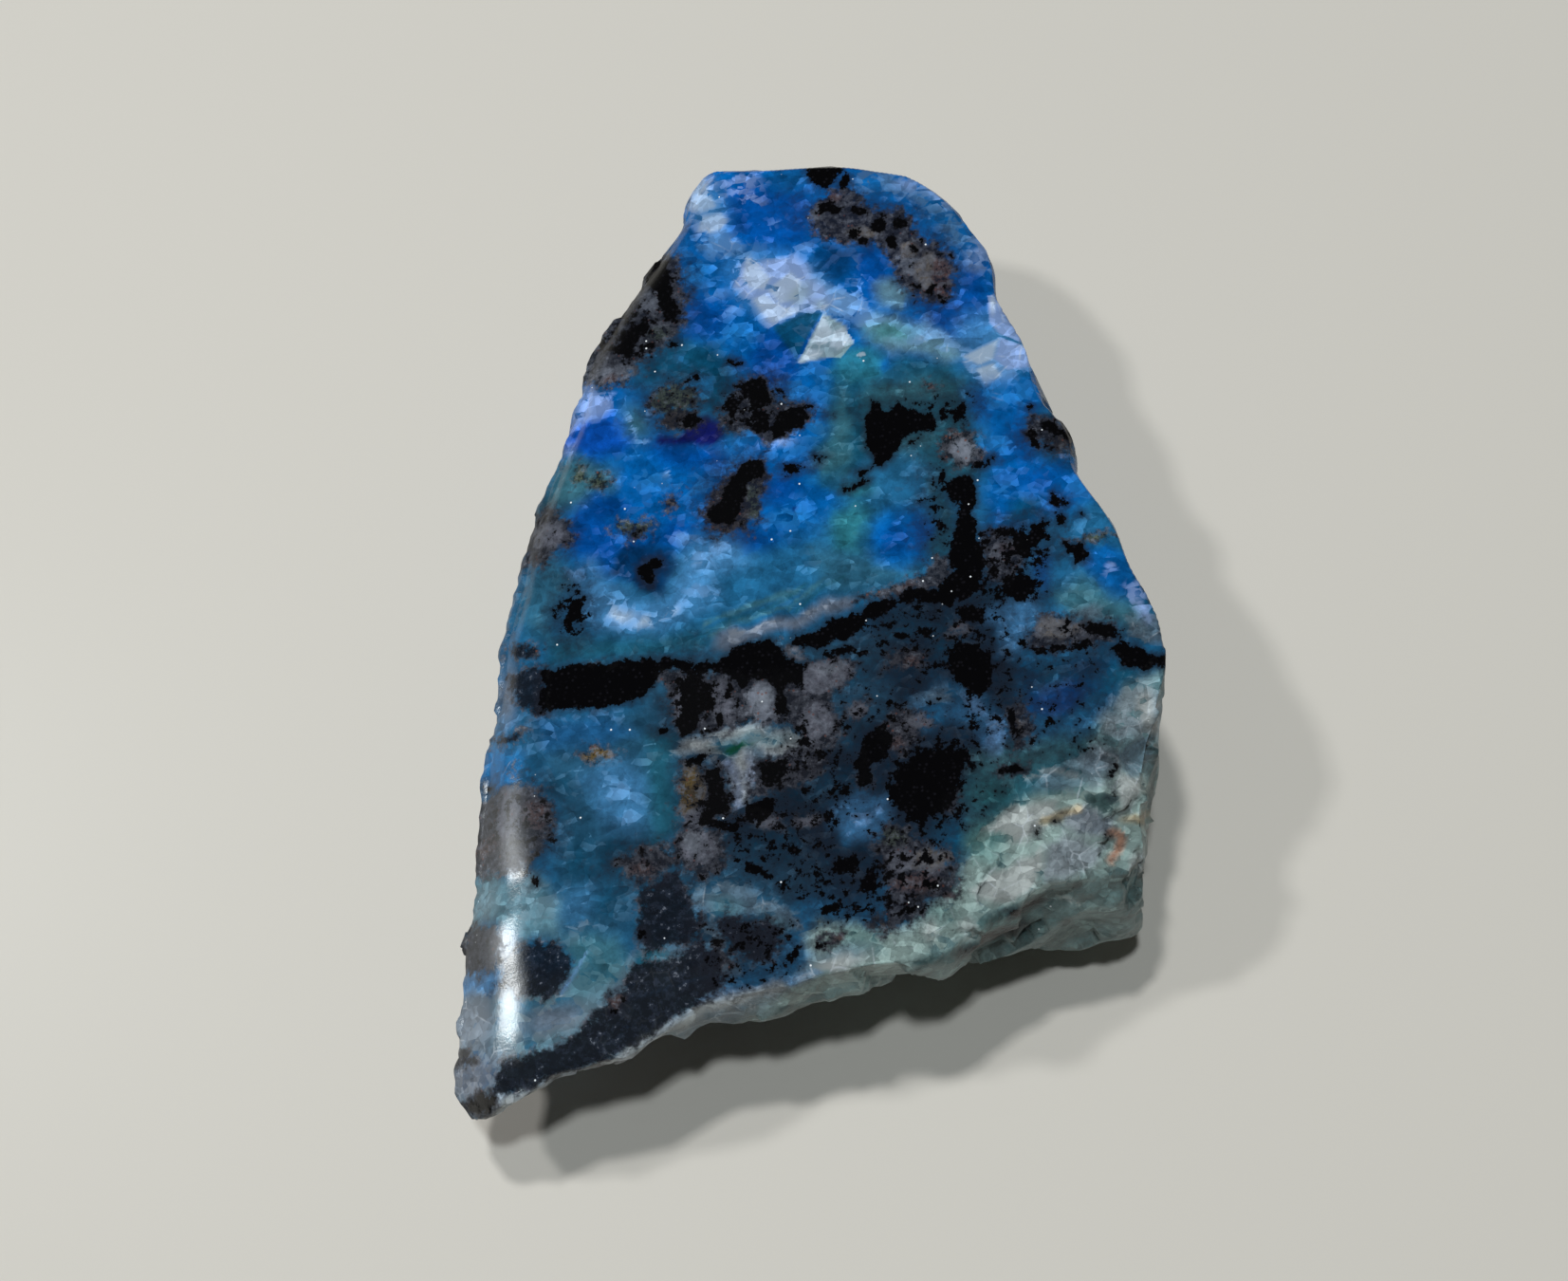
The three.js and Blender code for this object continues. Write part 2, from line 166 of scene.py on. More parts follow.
# Stains in the quartz, painted one over the other: mineral, softness of its edge, strength, marks.
STAINS = [
    # The crown.
    ("azure", 2.0, 1.0, [patch(-12, 30, -9.8, 36, -8.7, 40, 4, 40, 10, 37, 15, 31, 15, 25, 13, 20, 6, 19,
     0, 17, -5, 19, -8, 23, -10.5, 27)]),
    ("deep azure", 1.1, 0.85, [patch(-6.6, 36.6, -5, 37.4, -1.8, 36.4, 0, 35.4, 0.4, 33.6, 0.2, 31.4,
     -1.6, 30.8, -5, 31.6, -6, 33.4), patch(3.2, 29.6, 5, 30.6, 6.6, 29.4, 6.6, 27.6, 6, 26, 4.6, 25.8),
     patch(9, 25, 11.6, 25.4, 12, 28, 13.8, 28.4, 14.2, 25, 13.4, 21, 11.6, 21.4, 9.4, 22.8),
     patch(-10, 26.6, -8.4, 27.2, -6.4, 26.4, -6.2, 24.6, -7.2, 23.2, -10, 24)]),
    ("deep azure", 0.7, 0.9, [patch(-2.6, 24, 0.2, 25.2, 1.1, 25, 0, 22, -1, 20.4, -1, 18.8, -2, 18.2,
     -3.4, 19.5, -4.6, 21.6, -4.2, 23.4)]),
    ("navy", 0.9, 0.8, [patch(0.4, 30, 1.6, 31, 3.4, 30.4, 4, 29, 2.8, 27.6, 1.2, 28),
     oval(-5.6, 30.9, 0.7, 0.4)]),
    ("light azure", 1.6, 0.6, [oval(-9, 29.6, 1.6, 1.8), oval(-5.8, 23.6, 1.6, 1.4), oval(-2, 19, 1.8, 1.2),
     oval(0.4, 18.6, 2.4, 1.6), oval(-8, 31.6, 1.8, 1)]),
    ("mist", 1.0, 0.6, [streak(1.3, 5, 36.8, 9, 34.8, 12, 31.6, 13.6, 28.6)]),
    ("steel", 1.4, 0.4, [patch(7.6, 35.6, 10.4, 35.6, 13, 31.6, 13.4, 29, 11.8, 29.4, 9.4, 32),
     oval(5.4, 36, 2.4, 1.0, -15), oval(-1, 37.4, 1.2, 0.9)]),
    ("lavender", 0.9, 0.6, [oval(10.6, 34.8, 1.4, 0.6, -45), oval(-5.6, 37.2, 2.2, 1.1),
     oval(-4.4, 35.6, 1, 0.8), oval(13.4, 29.4, 0.8, 1.0), oval(8, 36, 0.5, 0.3)]),
    ("lavender", 0.5, 0.85, [patch(-9.8, 36.8, -8.8, 38.4, -7.4, 37.8, -7, 35.4, -6.4, 34.2, -6.8, 33,
     -8.8, 32.8, -9.2, 34.4, -9.9, 35.2)]),
    ("pale blue", 0.8, 0.55, [patch(-9.2, 32.4, -7, 33.4, -5.2, 32.2, -4.6, 30.4, -6.2, 30, -8, 31),
     oval(-0.4, 30.8, 0.6, 0.5), oval(-6, 26, 0.6, 0.5), oval(-7.4, 27.4, 0.5, 0.3),
     oval(4, 27.8, 0.4, 1.2, 10), oval(-2.4, 33.2, 0.4, 0.3), oval(9, 23.4, 0.5, 0.6),
     oval(3.8, 25.6, 1.0, 0.7)]),
    ("pale steel", 1.2, 0.7, [oval(-2, 27.4, 4.4, 2.6, -35), oval(13.8, 21, 2, 3, 20),
     oval(-8, 35.4, 1.4, 2.4, 20)]),
    ("quartz", 0.16, 0.5, [patch(-9.7, 35.3, -9, 37.6, -8.4, 38, -7.8, 36.6, -7.4, 35.2, -8.6, 34.9),
     patch(-8.8, 33.2, -8.5, 34.5, -7, 34.6, -6.4, 33.9, -7.1, 33.1, -8, 32.9)]),
    ("pale blue", 0.7, 0.8, [patch(-0.6, 29.4, 1, 28.4, 2.6, 27, 4, 26, 4.4, 25.2, 3.4, 24.4, 2, 24.2,
     1, 25, 1.4, 26.4)]),
    ("pale blue", 0.4, 0.9, [patch(-5.9, 28.4, -5.6, 29.6, -4.8, 30.8, -3.4, 29.6, -2.4, 30.2, -1.4, 30,
     -0.4, 29.2, 0.2, 28.4, 1.6, 27, 1.5, 25.4, 0, 25, -1.2, 24.8, -2.8, 24, -3.8, 24.8, -4.6, 26.6,
     -5.6, 27.4)]),
    ("lavender", 0.4, 0.85, [patch(-5.9, 28.2, -5.2, 30.4, -4, 30, -2.8, 30.2, -1, 30.3, 0, 29, 1, 27.5,
     2.2, 26, 1.2, 25.2, 0, 25.2, -1.5, 24.7, -2.9, 24, -3.4, 25, -4.6, 26.6)]),
    ("quartz", 0.16, 0.6, [patch(-5.2, 28.6, -4.9, 30.4, -4.1, 29.9, -3, 28.4, -3.4, 27.4, -4.6, 27.6),
     patch(-3.2, 27.4, -1.4, 28.8, -0.5, 27.8, -0.9, 26.4, -2.2, 26), patch(-4.4, 26.6, -3.4, 27,
     -2.2, 25.8, -0.4, 25.4, -1.4, 24.9, -2.8, 24.3, -3.5, 25.1)]),
    ("pale green", 0.5, 0.55, [oval(-0.5, 26.8, 0.6, 1.2, -30), oval(0.9, 25.8, 0.6, 0.5)]),
    ("deep teal", 0.1, 0.85, [patch(-2.8, 24, 0.1, 25.1, 1.1, 25, 0.4, 23.8, -0.5, 22, -0.9, 20.8,
     -1.6, 22)]),
    ("pale teal", 0.8, 0.75, [patch(3.8, 23.6, 5.4, 24.8, 7.2, 24, 8, 23, 10, 22.4, 11.8, 21.4, 12, 20.2,
     10.4, 19.6, 8.6, 20.6, 6.6, 20.8, 5.4, 21.6), patch(5.4, 27.2, 6.6, 27.6, 8, 26, 7.4, 24.8,
     5.8, 25.4)]),
    ("pale blue", 0.6, 0.7, [streak(0.8, 4.4, 24.2, 7, 23, 9.6, 21.8, 12, 20.6),
     oval(2.6, 26, 1.6, 0.7, -40)]),
    ("sea green", 0.7, 0.6, [patch(2.2, 21, 3, 21.8, 4.8, 21.8, 5.7, 20.8, 5.4, 19.8, 6, 19, 4.6, 18.2,
     3, 18.4, 2.1, 19.6), oval(6.4, 22.8, 1.6, 0.7)]),
    ("teal", 0.6, 0.7, [patch(6.2, 20.4, 7.4, 20.6, 9.6, 19.8, 11.4, 19.4, 10.8, 18.6, 8, 18.6, 6.4, 19)]),
    ("pale green", 0.1, 0.8, [patch(-0.9, 20.6, 1.2, 24.9, 2.9, 23.7, 3.6, 22.1, 2.5, 20.8, 1, 20.9)]),
    # The small oval at 4.2, 21 is a painted glint, in quartz white.
    ("quartz", 0.1, 0.8, [patch(0.2, 22.4, 1.2, 24.8, 1.9, 23.2, 1.5, 22.2), oval(4.2, 21, 0.4, 0.25),
     patch(1.9, 23.2, 2.8, 23.5, 3.5, 22.2, 2.4, 21.6, 1.7, 22), patch(-0.8, 20.7, 0, 21.8, 1.3, 21.5,
     0.6, 20.9)]),
    ("pale blue", 0.1, 0.75, [patch(11.7, 20.3, 14.9, 21.7, 17.3, 20.4, 17.2, 18.6, 15.6, 17.2, 13.6, 17.2,
     12.3, 19)]),
    ("lavender", 0.1, 0.8, [patch(14.9, 21.6, 17.2, 20.5, 17.1, 18.9, 15.4, 18.8, 14.4, 19.8),
     patch(14, 25.4, 14.5, 25.3, 15.9, 23, 17.3, 20.6, 14.9, 21.9, 14.1, 23)]),
    ("quartz", 0.16, 0.7, [patch(12, 20.2, 14.7, 21.4, 14.3, 19.8, 13.2, 19.4), oval(14.4, 24.6, 0.2, 0.8),
     patch(13, 19, 14.3, 19.4, 14.9, 18.3, 13.7, 17.5)]),

    # The left shoulder.
    ("azure", 1.6, 1.0, [patch(-18.6, 19.4, -15, 20.4, -13, 19, -12, 17, -11.6, 15.4, -8, 14.4, -6, 14.4,
     -4, 15, 0, 18, 3, 17, 2, 12, 2, 8, 0, 6, -3, 5, -6, 5.6, -9, 6, -11, 5, -15, 3.4, -17.4, 4.6, -19, 6,
     -18.6, 9.6, -16, 11, -15.6, 13, -18.6, 13.4, -20, 15)]),
    ("light azure", 1.2, 0.6, [oval(-12, 11.4, 2, 1.2), oval(-9, 10.6, 1.6, 1.0), oval(-7, 13.4, 2.2, 1.2),
     oval(-1.6, 13.4, 1.6, 0.8), oval(-1, 7.6, 2.4, 1.6), oval(-13.4, 13.8, 1.4, 0.8),
     oval(0.6, 14.6, 1.4, 1.8), oval(-15, 10, 1.2, 0.6)]),
    ("violet azure", 0.9, 0.8, [patch(-19.8, 14.8, -18, 16.6, -15.6, 17.4, -14.4, 17, -13.4, 15, -14.6, 14,
     -17, 13.8)]),
    ("deep azure", 0.9, 0.85, [patch(-12.6, 14.8, -11, 14.4, -7, 14.2, -6.2, 13, -7, 12.2, -9.4, 12.4,
     -11.4, 12.8), patch(-18.8, 10, -16, 10.6, -14, 9.4, -15.4, 8, -14.6, 6.2, -12, 6.2, -10.8, 8,
     -8.8, 7.4, -10, 5.6, -12, 5.8, -15.4, 4.6, -17.4, 5, -18.6, 6.4), oval(-2.2, 9.8, 1.6, 1.2),
     oval(-4.8, 5.8, 2, 0.8), oval(-3, 20.4, 1.6, 1.4)]),
    ("navy", 0.35, 0.95, [patch(-15.2, 4, -14.4, 5.6, -12.4, 6, -10.6, 5.4, -10.2, 4, -10.8, 2.4,
     -11.2, 1.6, -12.2, 2, -13.6, 2.4, -14.4, 3)]),
    ("deep teal", 0.9, 0.85, [patch(-13.4, 20, -12.6, 21.8, -11, 23, -9, 23, -6.8, 22.4, -6, 20.6, -6, 18.4,
     -7.6, 17.2, -9, 18, -9.4, 19.6, -11, 20.2)]),
    ("light azure", 0.6, 0.5, [oval(-8.4, 19.6, 1.1, 1.2), oval(-9.8, 21.6, 0.7, 0.5)]),
    ("indigo", 0.4, 0.95, [patch(-9.6, 16.4, -8, 16.8, -6.8, 15.8, -6.5, 14.8, -7.6, 14.2, -9, 14.3,
     -10.4, 14.1, -11.8, 14.6, -11.6, 15.2, -10, 15.2)]),
    ("indigo", 0.2, 0.8, [oval(-0.9, 8.2, 0.25)]),
    ("grey teal", 1.0, 0.85, [patch(-21.6, 9, -19.4, 13.4, -18.4, 14, -16.6, 12.8, -15.2, 12, -15.2, 11,
     -16.6, 10.4, -18.6, 9.4), oval(-13.6, 16.4, 1.0, 1.6, 20)]),
    ("lavender", 0.7, 0.75, [patch(-18.6, 16, -18.4, 18.6, -17.4, 20.2, -15.4, 19.2, -15.6, 17.8, -17, 17),
     oval(-18.8, 14.4, 0.5, 0.4), oval(-2.6, 14, 1, 0.5)]),
    # The short streak at -13, 14.6 is a painted ring of glint.
    ("pale blue", 0.3, 0.8, [streak(0.16, -14.2, 17, -13.8, 16, -13.2, 14.4), oval(-11.1, 11.9, 0.25, 0.4),
     streak(0.14, -13.3, 14.3, -12.9, 14.6, -12.5, 14.7), oval(-12.4, 17.2, 0.4)]),
    ("pale steel", 1.3, 0.9, [patch(-16.8, 4.6, -15.6, 3, -14, 1.4, -12.2, 1.2, -10.4, 1.8, -9.8, 4.6,
     -9, 6, -6.6, 6.2, -5.2, 5.2, -4.6, 3.6, -7, 3, -7, 1.6, -9.6, -0.6, -12, -1.4, -14.6, -1.2,
     -16.4, -0.4, -18, 1.2)]),
    ("pale blue", 0.6, 0.65, [patch(-15.8, -0.4, -15.2, 1, -14, 1.4, -13.2, 0.4, -12.4, 0, -12, -1,
     -14.4, -1), oval(-8.6, 4.4, 0.9, 1.0), oval(-6.6, 5.2, 1.0, 0.6), oval(-10, 0.4, 1.4, 0.4, 20),
     oval(-17.8, 4, 0.7, 0.5), oval(-9.6, 6.4, 0.9, 0.3), oval(-8, 1.6, 1.4, 0.4)]),
    ("quartz", 0.4, 0.7, [oval(-14.4, 0.3, 0.9, 0.4, -20), oval(-12.4, -0.6, 0.7, 0.3),
     oval(-10.8, 0.2, 0.5, 0.2)]),
    ("steel", 1.2, 0.8, [patch(-7, 2.6, -3, 4.4, 2, 4.4, 6, 3, 8, 2.2, 5, 0.8, 1, 1, -3, 0.4, -7, 0)]),
    ("grey teal", 1.0, 0.45, [patch(-22.6, 0, -21.8, 4.6, -19.4, 5, -18, 3, -19.6, 1, -20, -2),
     patch(0, 4.6, 3, 4.4, 7, 2.6, 8, 2.2, 5, 1, 1.4, 1.2)]),
    ("teal", 0.9, 0.75, [patch(-20, -1.4, -14, -1.8, -8, -1.6, -7, -3, -12, -3.6, -20, -3.7)]),
    ("grey teal", 0.2, 0.75, [streak(0.22, -8, -1.3, -6.4, -0.3, -4, 0.3, -2.4, 1, -1, 1.4),
     streak(0.16, -7.4, -2.1, -5.4, -0.9, -3, -0.3, -1.4, 0.3, 0.2, 1.3, 1.2, 2)]),
    ("teal", 0.15, 0.7, [streak(0.14, -7.8, -1.7, -6, -0.7, -3.6, -0.2, -1.8, 0.6, -0.2, 1.8),
     streak(0.12, -1, -0.4, 0.4, 0.9, 1.2, 1.6, 2.6, 2.2)]),
    ("ash", 0.4, 0.75, [patch(-7.4, -3.2, -7, -2, -5.6, -1.4, -4.4, -1.6, -2.6, -0.9, -1, -0.7, 0.6, 0.4,
     2, 0.6, 3.4, 0.8, 3, -0.4, 1, -0.6, -0.4, -1.6, -2.4, -2.2, -4, -2.6, -5.6, -2.8, -6.2, -3.4)]),
    ("smoke", 0.25, 0.6, [streak(0.16, -6.6, -2.6, -5.6, -1.8, -4, -1.8, -2.6, -1.2, -1.4, -1.2, -0.2, -0.4,
     1.2, 0), oval(-5.8, -2.4, 0.5, 0.3), oval(0.8, 0.2, 0.5, 0.2, 30)]),

    # The middle and the right shoulder.
    ("teal", 1.1, 0.9, [patch(2, 20, 3.4, 18.4, 5, 18.8, 8, 19, 10.4, 19, 11.8, 18.4, 12.2, 16.4, 12.6, 13,
     13, 10, 11, 9, 9.4, 9.4, 7, 12.6, 4, 12, 2, 10, 0.4, 10.6, 0.4, 13, 1.4, 15)]),
    ("grey teal", 0.9, 0.7, [oval(8, 17.6, 3.2, 0.9), oval(2.4, 14.6, 0.8, 2.6, -8),
     oval(8, 13, 2, 0.7, 20), oval(6.6, 10.8, 2, 1.2), oval(2.2, 12, 1.2, 1.4)]),
    ("deep teal", 0.5, 0.6, [streak(0.5, 3.8, 18.2, 3.5, 16.4, 3.9, 14.4, 3.8, 12.4), streak(0.3, 1.2, 10,
     2.4, 11.4, 4, 11.8)]),
    ("steel", 1.2, 0.9, [patch(3.6, 9.6, 5, 12, 8, 12.2, 9.8, 10, 9.6, 7.6, 4.6, 7.6)]),
    ("sea green", 0.9, 0.55, [patch(1.6, 8, 3.4, 8.6, 4.8, 7.4, 4.4, 6, 3.8, 4.4, 2.4, 4.6, 1.6, 6.4),
     oval(3.6, 9.4, 1.0, 0.6)]),
    ("azure", 0.9, 0.95, [patch(4.6, 6.6, 6, 7.6, 8.4, 7.4, 9.4, 5.4, 9, 3.4, 7, 2.8, 5, 3.4, 4.4, 5),
     oval(1, 8.4, 1.2, 0.7)]),
    ("deep azure", 0.8, 0.6, [oval(6.6, 5, 1.4, 1.2), oval(8.4, 5.4, 0.6, 1.0)]),
    ("teal", 0.7, 0.8, [patch(9, 10, 10.4, 9, 11.2, 6.4, 10.8, 3.4, 9.6, 3, 9, 4.6, 9.8, 6.6)]),
    ("azure", 1.2, 1.0, [patch(12.4, 17.2, 14, 17.8, 17.6, 18.2, 18, 15.4, 17, 14.2, 16.4, 12.6, 18.6, 11,
     20.4, 10.2, 22, 8, 20, 6.4, 18, 6.2, 16, 5.4, 13.8, 5.4, 13.4, 8, 13.6, 11, 13.6, 14, 12.4, 15.4)]),
    ("deep azure", 1.0, 0.6, [oval(16.4, 12.6, 0.8, 1.6), oval(17.5, 9.4, 2, 1.0, 10)]),
    ("light azure", 0.9, 0.6, [oval(14.6, 16.6, 1.4, 1.2), oval(16.4, 16.8, 0.8, 1.0),
     oval(14.6, 12.6, 0.8, 1.4), oval(20.4, 8.4, 0.8, 0.8), oval(15, 8.6, 1.2, 0.6)]),
    ("deep teal", 0.7, 0.8, [patch(14.8, 5.8, 15.4, 7.6, 17.4, 7.8, 17.8, 6.4, 16.4, 5.6)]),
    ("steel", 1.0, 0.9, [patch(17, 4, 19, 5, 21, 6.4, 22.4, 5.6, 22, 3.6, 20, 1, 18.4, -1, 17, -0.6,
     16.6, 2)]),
    ("azure", 0.7, 0.85, [patch(20.8, 3.2, 22.4, 3.6, 23.8, 2.4, 25, -1, 23.2, -0.8, 21.6, 0.4, 20.6, 1.6),
     oval(17.6, 1.6, 0.7, 1.4)]),
    ("grey teal", 0.9, 0.85, [patch(18.4, -0.4, 20, 0.8, 22, 0, 24, -1.4, 25.6, -2.4, 25, -4, 22, -3,
     19.4, -2)]),
    ("mist", 0.6, 0.9, [patch(23.4, -2.4, 25.6, -2.2, 27.4, -4, 27.4, -5, 24, -4.8),
     oval(20.9, -2, 1.2, 0.7)]),
    ("lavender", 0.5, 0.75, [patch(23.4, 0, 24.6, 1, 25.6, -1.6, 25.2, -3, 24, -1.6), oval(22.4, 1.4, 0.4),
     oval(19.5, 11.1, 0.4, 0.25)]),

    # Below the vein, on the right.
    ("slate", 1.0, 1.0, [patch(-13, -3.6, 3, -2.4, 6, -3, 5, -8, 2, -14, -1, -20, -1, -28, -13, -28)]),
    ("night", 1.3, 0.9, [patch(4, -0.6, 8, 0.4, 12, 1.6, 16, 1, 17, -1, 14.6, -3.4, 15.8, -6, 15.8, -12,
     13, -14.6, 11.4, -17.6, 8, -19.6, 3, -24, -1, -22.6, -6, -18, -8, -17, -3, -14.6, 0, -11.8, 2.4, -11,
     4, -6, 5, -3)]),
    ("deep teal", 1.0, 0.55, [oval(7.2, -2, 2, 1.1), oval(10, -3.4, 1.2, 1.6), oval(1, -14.8, 2.2, 1.0),
     oval(-2.6, -19, 2, 1.6), oval(14.6, 0, 1.4, 0.7), oval(3, -6.4, 1.4, 1.2)]),
    ("slate", 0.9, 0.85, [patch(2.8, -7, 4.4, -6, 6.4, -7.4, 6.8, -9, 4.6, -9.6, 2.6, -10.4, 2, -9),
     patch(-3.4, -20.6, -1.2, -20, 1, -20.6, 1, -22.4, -1.4, -23, -3.2, -22), patch(3.4, -3.4, 6.4, -2.6,
     6.6, -4.4, 4.4, -5.4, 3.2, -5)]),
    ("steel", 0.8, 0.85, [patch(7.4, -8, 9.6, -7, 12, -7.2, 13.6, -8.4, 14.6, -9.8, 14.4, -11.6,
     12.6, -10.8, 10.4, -10, 8.6, -10.6)]),
    ("pale steel", 0.7, 0.6, [patch(12.2, -10.2, 14.4, -10, 14.5, -12, 14, -13.8, 12.9, -13.6, 12.8, -12),
     oval(11.8, -9.2, 1.2, 0.5)]),
    ("pale steel", 0.8, 0.8, [patch(1.8, -16.2, 3.6, -15.3, 5.6, -15.8, 6, -17.2, 4.8, -18.6, 3.2, -19,
     1.6, -17.6)]),
    ("pale blue", 0.3, 0.7, [oval(3.8, -17, 0.9, 0.6), oval(3, -18.2, 0.5, 0.3), oval(5, -16.6, 0.4, 0.3),
     oval(13.7, -11.4, 0.7, 2.2), oval(12.4, -8.8, 1.2, 0.5, -40)]),
    ("mist", 0.6, 0.8, [patch(13.8, -1.2, 15, -0.5, 16.6, -0.5, 17.2, -1.6, 16.2, -3, 15.6, -4.6,
     14.4, -4.6, 14.3, -2.6), oval(9.4, -8, 1.4, 0.6)]),
    ("pale steel", 0.7, 0.8, [patch(13.2, -1, 15, -0.2, 16.6, -0.4, 17.4, -1.6, 16.6, -2.8, 15.6, -4.8,
     14.2, -4.8, 14.2, -2.6, 13.2, -2.2)]),
    ("deep teal", 0.9, 0.85, [patch(16, -6, 17.4, -5.4, 19.6, -5.4, 22, -5, 23.8, -7, 22.4, -8.6,
     20.6, -9.2, 19.4, -10.2, 17.4, -10.6, 16, -9, 15.6, -7.4)]),
    ("navy", 0.8, 0.6, [oval(20.6, -6.2, 1.8, 0.7), oval(16.4, -7.6, 0.7, 1.6)]),
    ("deep azure", 0.8, 0.7, [oval(18.6, -8.6, 2.2, 1.1, 20)]),
    ("steel", 0.9, 0.8, [patch(16, -10.6, 19, -10.6, 21.6, -9.2, 23.4, -8, 24.6, -8.4, 23.4, -10.6, 21, -12,
     18, -13, 16, -13)]),
    ("grey teal", 1.0, 1.0, [patch(12, -12.6, 20.4, -11.4, 24, -9, 24, -20, 11, -20)]),
    ("teal", 0.8, 0.6, [patch(11.4, -14, 14, -14.6, 16.4, -14.2, 18, -13, 20, -12.6, 20.4, -14.8, 18, -15.8,
     16, -16.2, 13, -17.2, 11.2, -17, 10.6, -15.4), oval(24, -7, 1.2, 0.5)]),
    ("deep teal", 0.8, 0.8, [patch(8.4, -18.4, 10, -17.4, 11.2, -18, 11.6, -20.4, 10.6, -21.6, 9.6, -20)]),

    # The broken corner and the front wall.
    ("wall green", 0.9, 0.9, [patch(20.6, -12, 22.6, -10.2, 23.4, -8, 28, -7, 28, -34, -12, -36, -12, -33,
     -0.6, -28.6, 0.6, -25, 7, -26, 8.4, -24.4, 11, -21.6, 12, -18.6, 14, -17.4, 20, -15)]),
    ("pale green", 0.9, 0.8, [patch(20.6, -12, 22.6, -10.2, 23.4, -8, 26.6, -7, 27, -14, 25, -15, 25.6, -24,
     14, -25, 9, -25, 5, -26, 0.6, -25, -0.6, -28.6, -12, -33, -12, -36, 6, -31, 12, -28, 28, -30, 28, -6),
     patch(0.4, -25, 3, -25.6, 7, -26, 8.4, -24.4, 10.4, -23.6, 11, -21.6, 12, -18.6, 14, -17.4, 17, -16.4,
     20, -15, 21, -13, 27, -13, 27, -30, 10, -30, -2, -30)]),
    ("pale teal", 0.9, 0.8, [patch(20.6, -12, 22.6, -10.2, 23.4, -8, 28, -6, 28, -15, 23, -15)]),
    ("smoke", 0.7, 0.75, [oval(24.2, -10, 1.8, 2.6), oval(21, -13.6, 1.8, 1.0), oval(22.6, -11, 1.2, 1.2)]),
    ("wall green", 0.9, 0.85, [patch(12, -25, 15, -23.8, 17, -22.8, 20, -22.4, 25, -22, 28, -20, 28, -34,
     8, -34, -8, -37, -12, -35, -9, -33.6, 0, -30.6, 7, -28.6, 11, -27.2)]),
    ("sea green", 0.8, 0.3, [oval(13.4, -15.6, 1.6, 1.0), oval(12.8, -19.4, 1.4, 1.6),
     oval(14, -26.2, 1.4, 0.6), oval(3.4, -26.6, 1.6, 1.0), oval(19, -14.8, 1, 0.7),
     oval(9, -24.8, 1.2, 0.5)]),
    ("mist", 0.6, 0.8, [oval(18.4, -14.8, 2, 1.2), oval(20.6, -14.4, 1.0, 1.6),
     oval(2, -27.8, 2.6, 0.9, 15)]),
    ("frost", 0.4, 0.6, [oval(24.6, -9.8, 0.7, 1.4), oval(2.4, -28.2, 1.6, 0.5, 10),
     oval(11.4, -26, 0.6, 0.8), oval(8.6, -26, 0.5, 0.8), streak(0.12, 16, -14.8, 17.6, -14, 19.4, -14.6)]),
    # The two patches here are frost-white quartz with painted white highlights of its facets on it, and the
    # oval at 19, -24.6 is a painted glint.
    ("frost", 0.45, 0.85, [patch(11.6, -23.4, 13, -22, 14.6, -21.2, 16.4, -20.4, 16.8, -21.8, 15.8, -23.4,
     14, -24, 12.4, -23.8), patch(12.4, -18.4, 15, -16.8, 17.6, -16.8, 17.6, -18.4, 15.4, -19.6),
     oval(24.8, -10, 0.4, 1.2), oval(19, -24.6, 0.7, 0.3, -30), oval(24, -22.6, 0.7, 1.4),
     patch(22.1, -14.6, 23.8, -15, 23.6, -17, 22.4, -18.2), oval(1.8, -28.4, 1, 0.4)]),
    ("smoke", 0.5, 0.8, [patch(16.8, -20.2, 18.2, -19.4, 19.8, -19.8, 21.2, -20.4, 20.8, -21.8, 19, -22.2,
     17, -22.8), oval(20.4, -17.7, 0.8, 0.4)]),
    ("ash", 0.5, 0.75, [patch(18, -17.6, 20, -17.2, 21.8, -18, 21.6, -19.4, 19.4, -19.4, 18.2, -18.8)]),
    ("mist", 0.25, 0.85, [patch(22, -13, 23.4, -12.4, 25, -12.1, 25, -13.5, 23.9, -14.8, 22.9, -15,
     22.4, -13.8)]),
    ("dark green", 0.3, 0.75, [oval(21.1, -16.8, 1.0, 0.45), streak(0.25, 12.4, -25.6, 15, -24.8,
     17.4, -23.6, 19.6, -23), streak(0.3, 7, -28.9, 11, -27.8, 14, -26.9, 18, -26.4),
     streak(0.5, 25.2, -13.6, 25.1, -16, 24.9, -18.4)]),
    ("tan", 0.25, 0.85, [streak(0.28, 17, -18.3, 18.2, -17.7, 19.3, -17.4), oval(23.6, -18.4, 1.0, 0.3)]),
    ("orange", 0.25, 0.85, [streak(0.26, 21.5, -19.3, 22.3, -19.9, 22.4, -20.8, 22, -21.5)]),

    # Below the vein, on the left.
    ("slate", 1.2, 1.0, [patch(-22, -7.8, -11, -7.8, -10, -12, -11, -18, -13, -24, -14, -29, -19, -26,
     -19, -16, -21, -10)]),
    ("mist", 1.2, 0.95, [patch(-28, -26.6, -20, -28, -16, -28.6, -12, -26, -5, -28, -2, -30, -8, -36,
     -22, -42, -30, -40)]),
    ("pale steel", 1.0, 0.3, [oval(-17, -22.6, 2.2, 1.4, 30)]),
    ("mist", 0.7, 0.6, [oval(-16.6, -24.4, 1.9, 0.7, 35), oval(-15.6, -28, 1.6, 1.8)]),
    ("azure", 0.9, 0.3, [patch(-20.8, -8.2, -15, -8, -13, -9.6, -16, -10.4, -20, -10.6)]),
    ("deep teal", 0.9, 0.6, [oval(-14.4, -20.4, 1.8, 2.4), oval(-17, -19.6, 1.2, 1.8),
     oval(-19, -13.6, 1, 0.8), oval(-15, -22.6, 1.2, 1.4)]),
    ("pale steel", 1.0, 0.5, [patch(-17.4, -13, -15.6, -11.9, -13.6, -12, -12.2, -13.4, -12.2, -16,
     -13.4, -17.6, -15, -17.2, -16.2, -15.4)]),
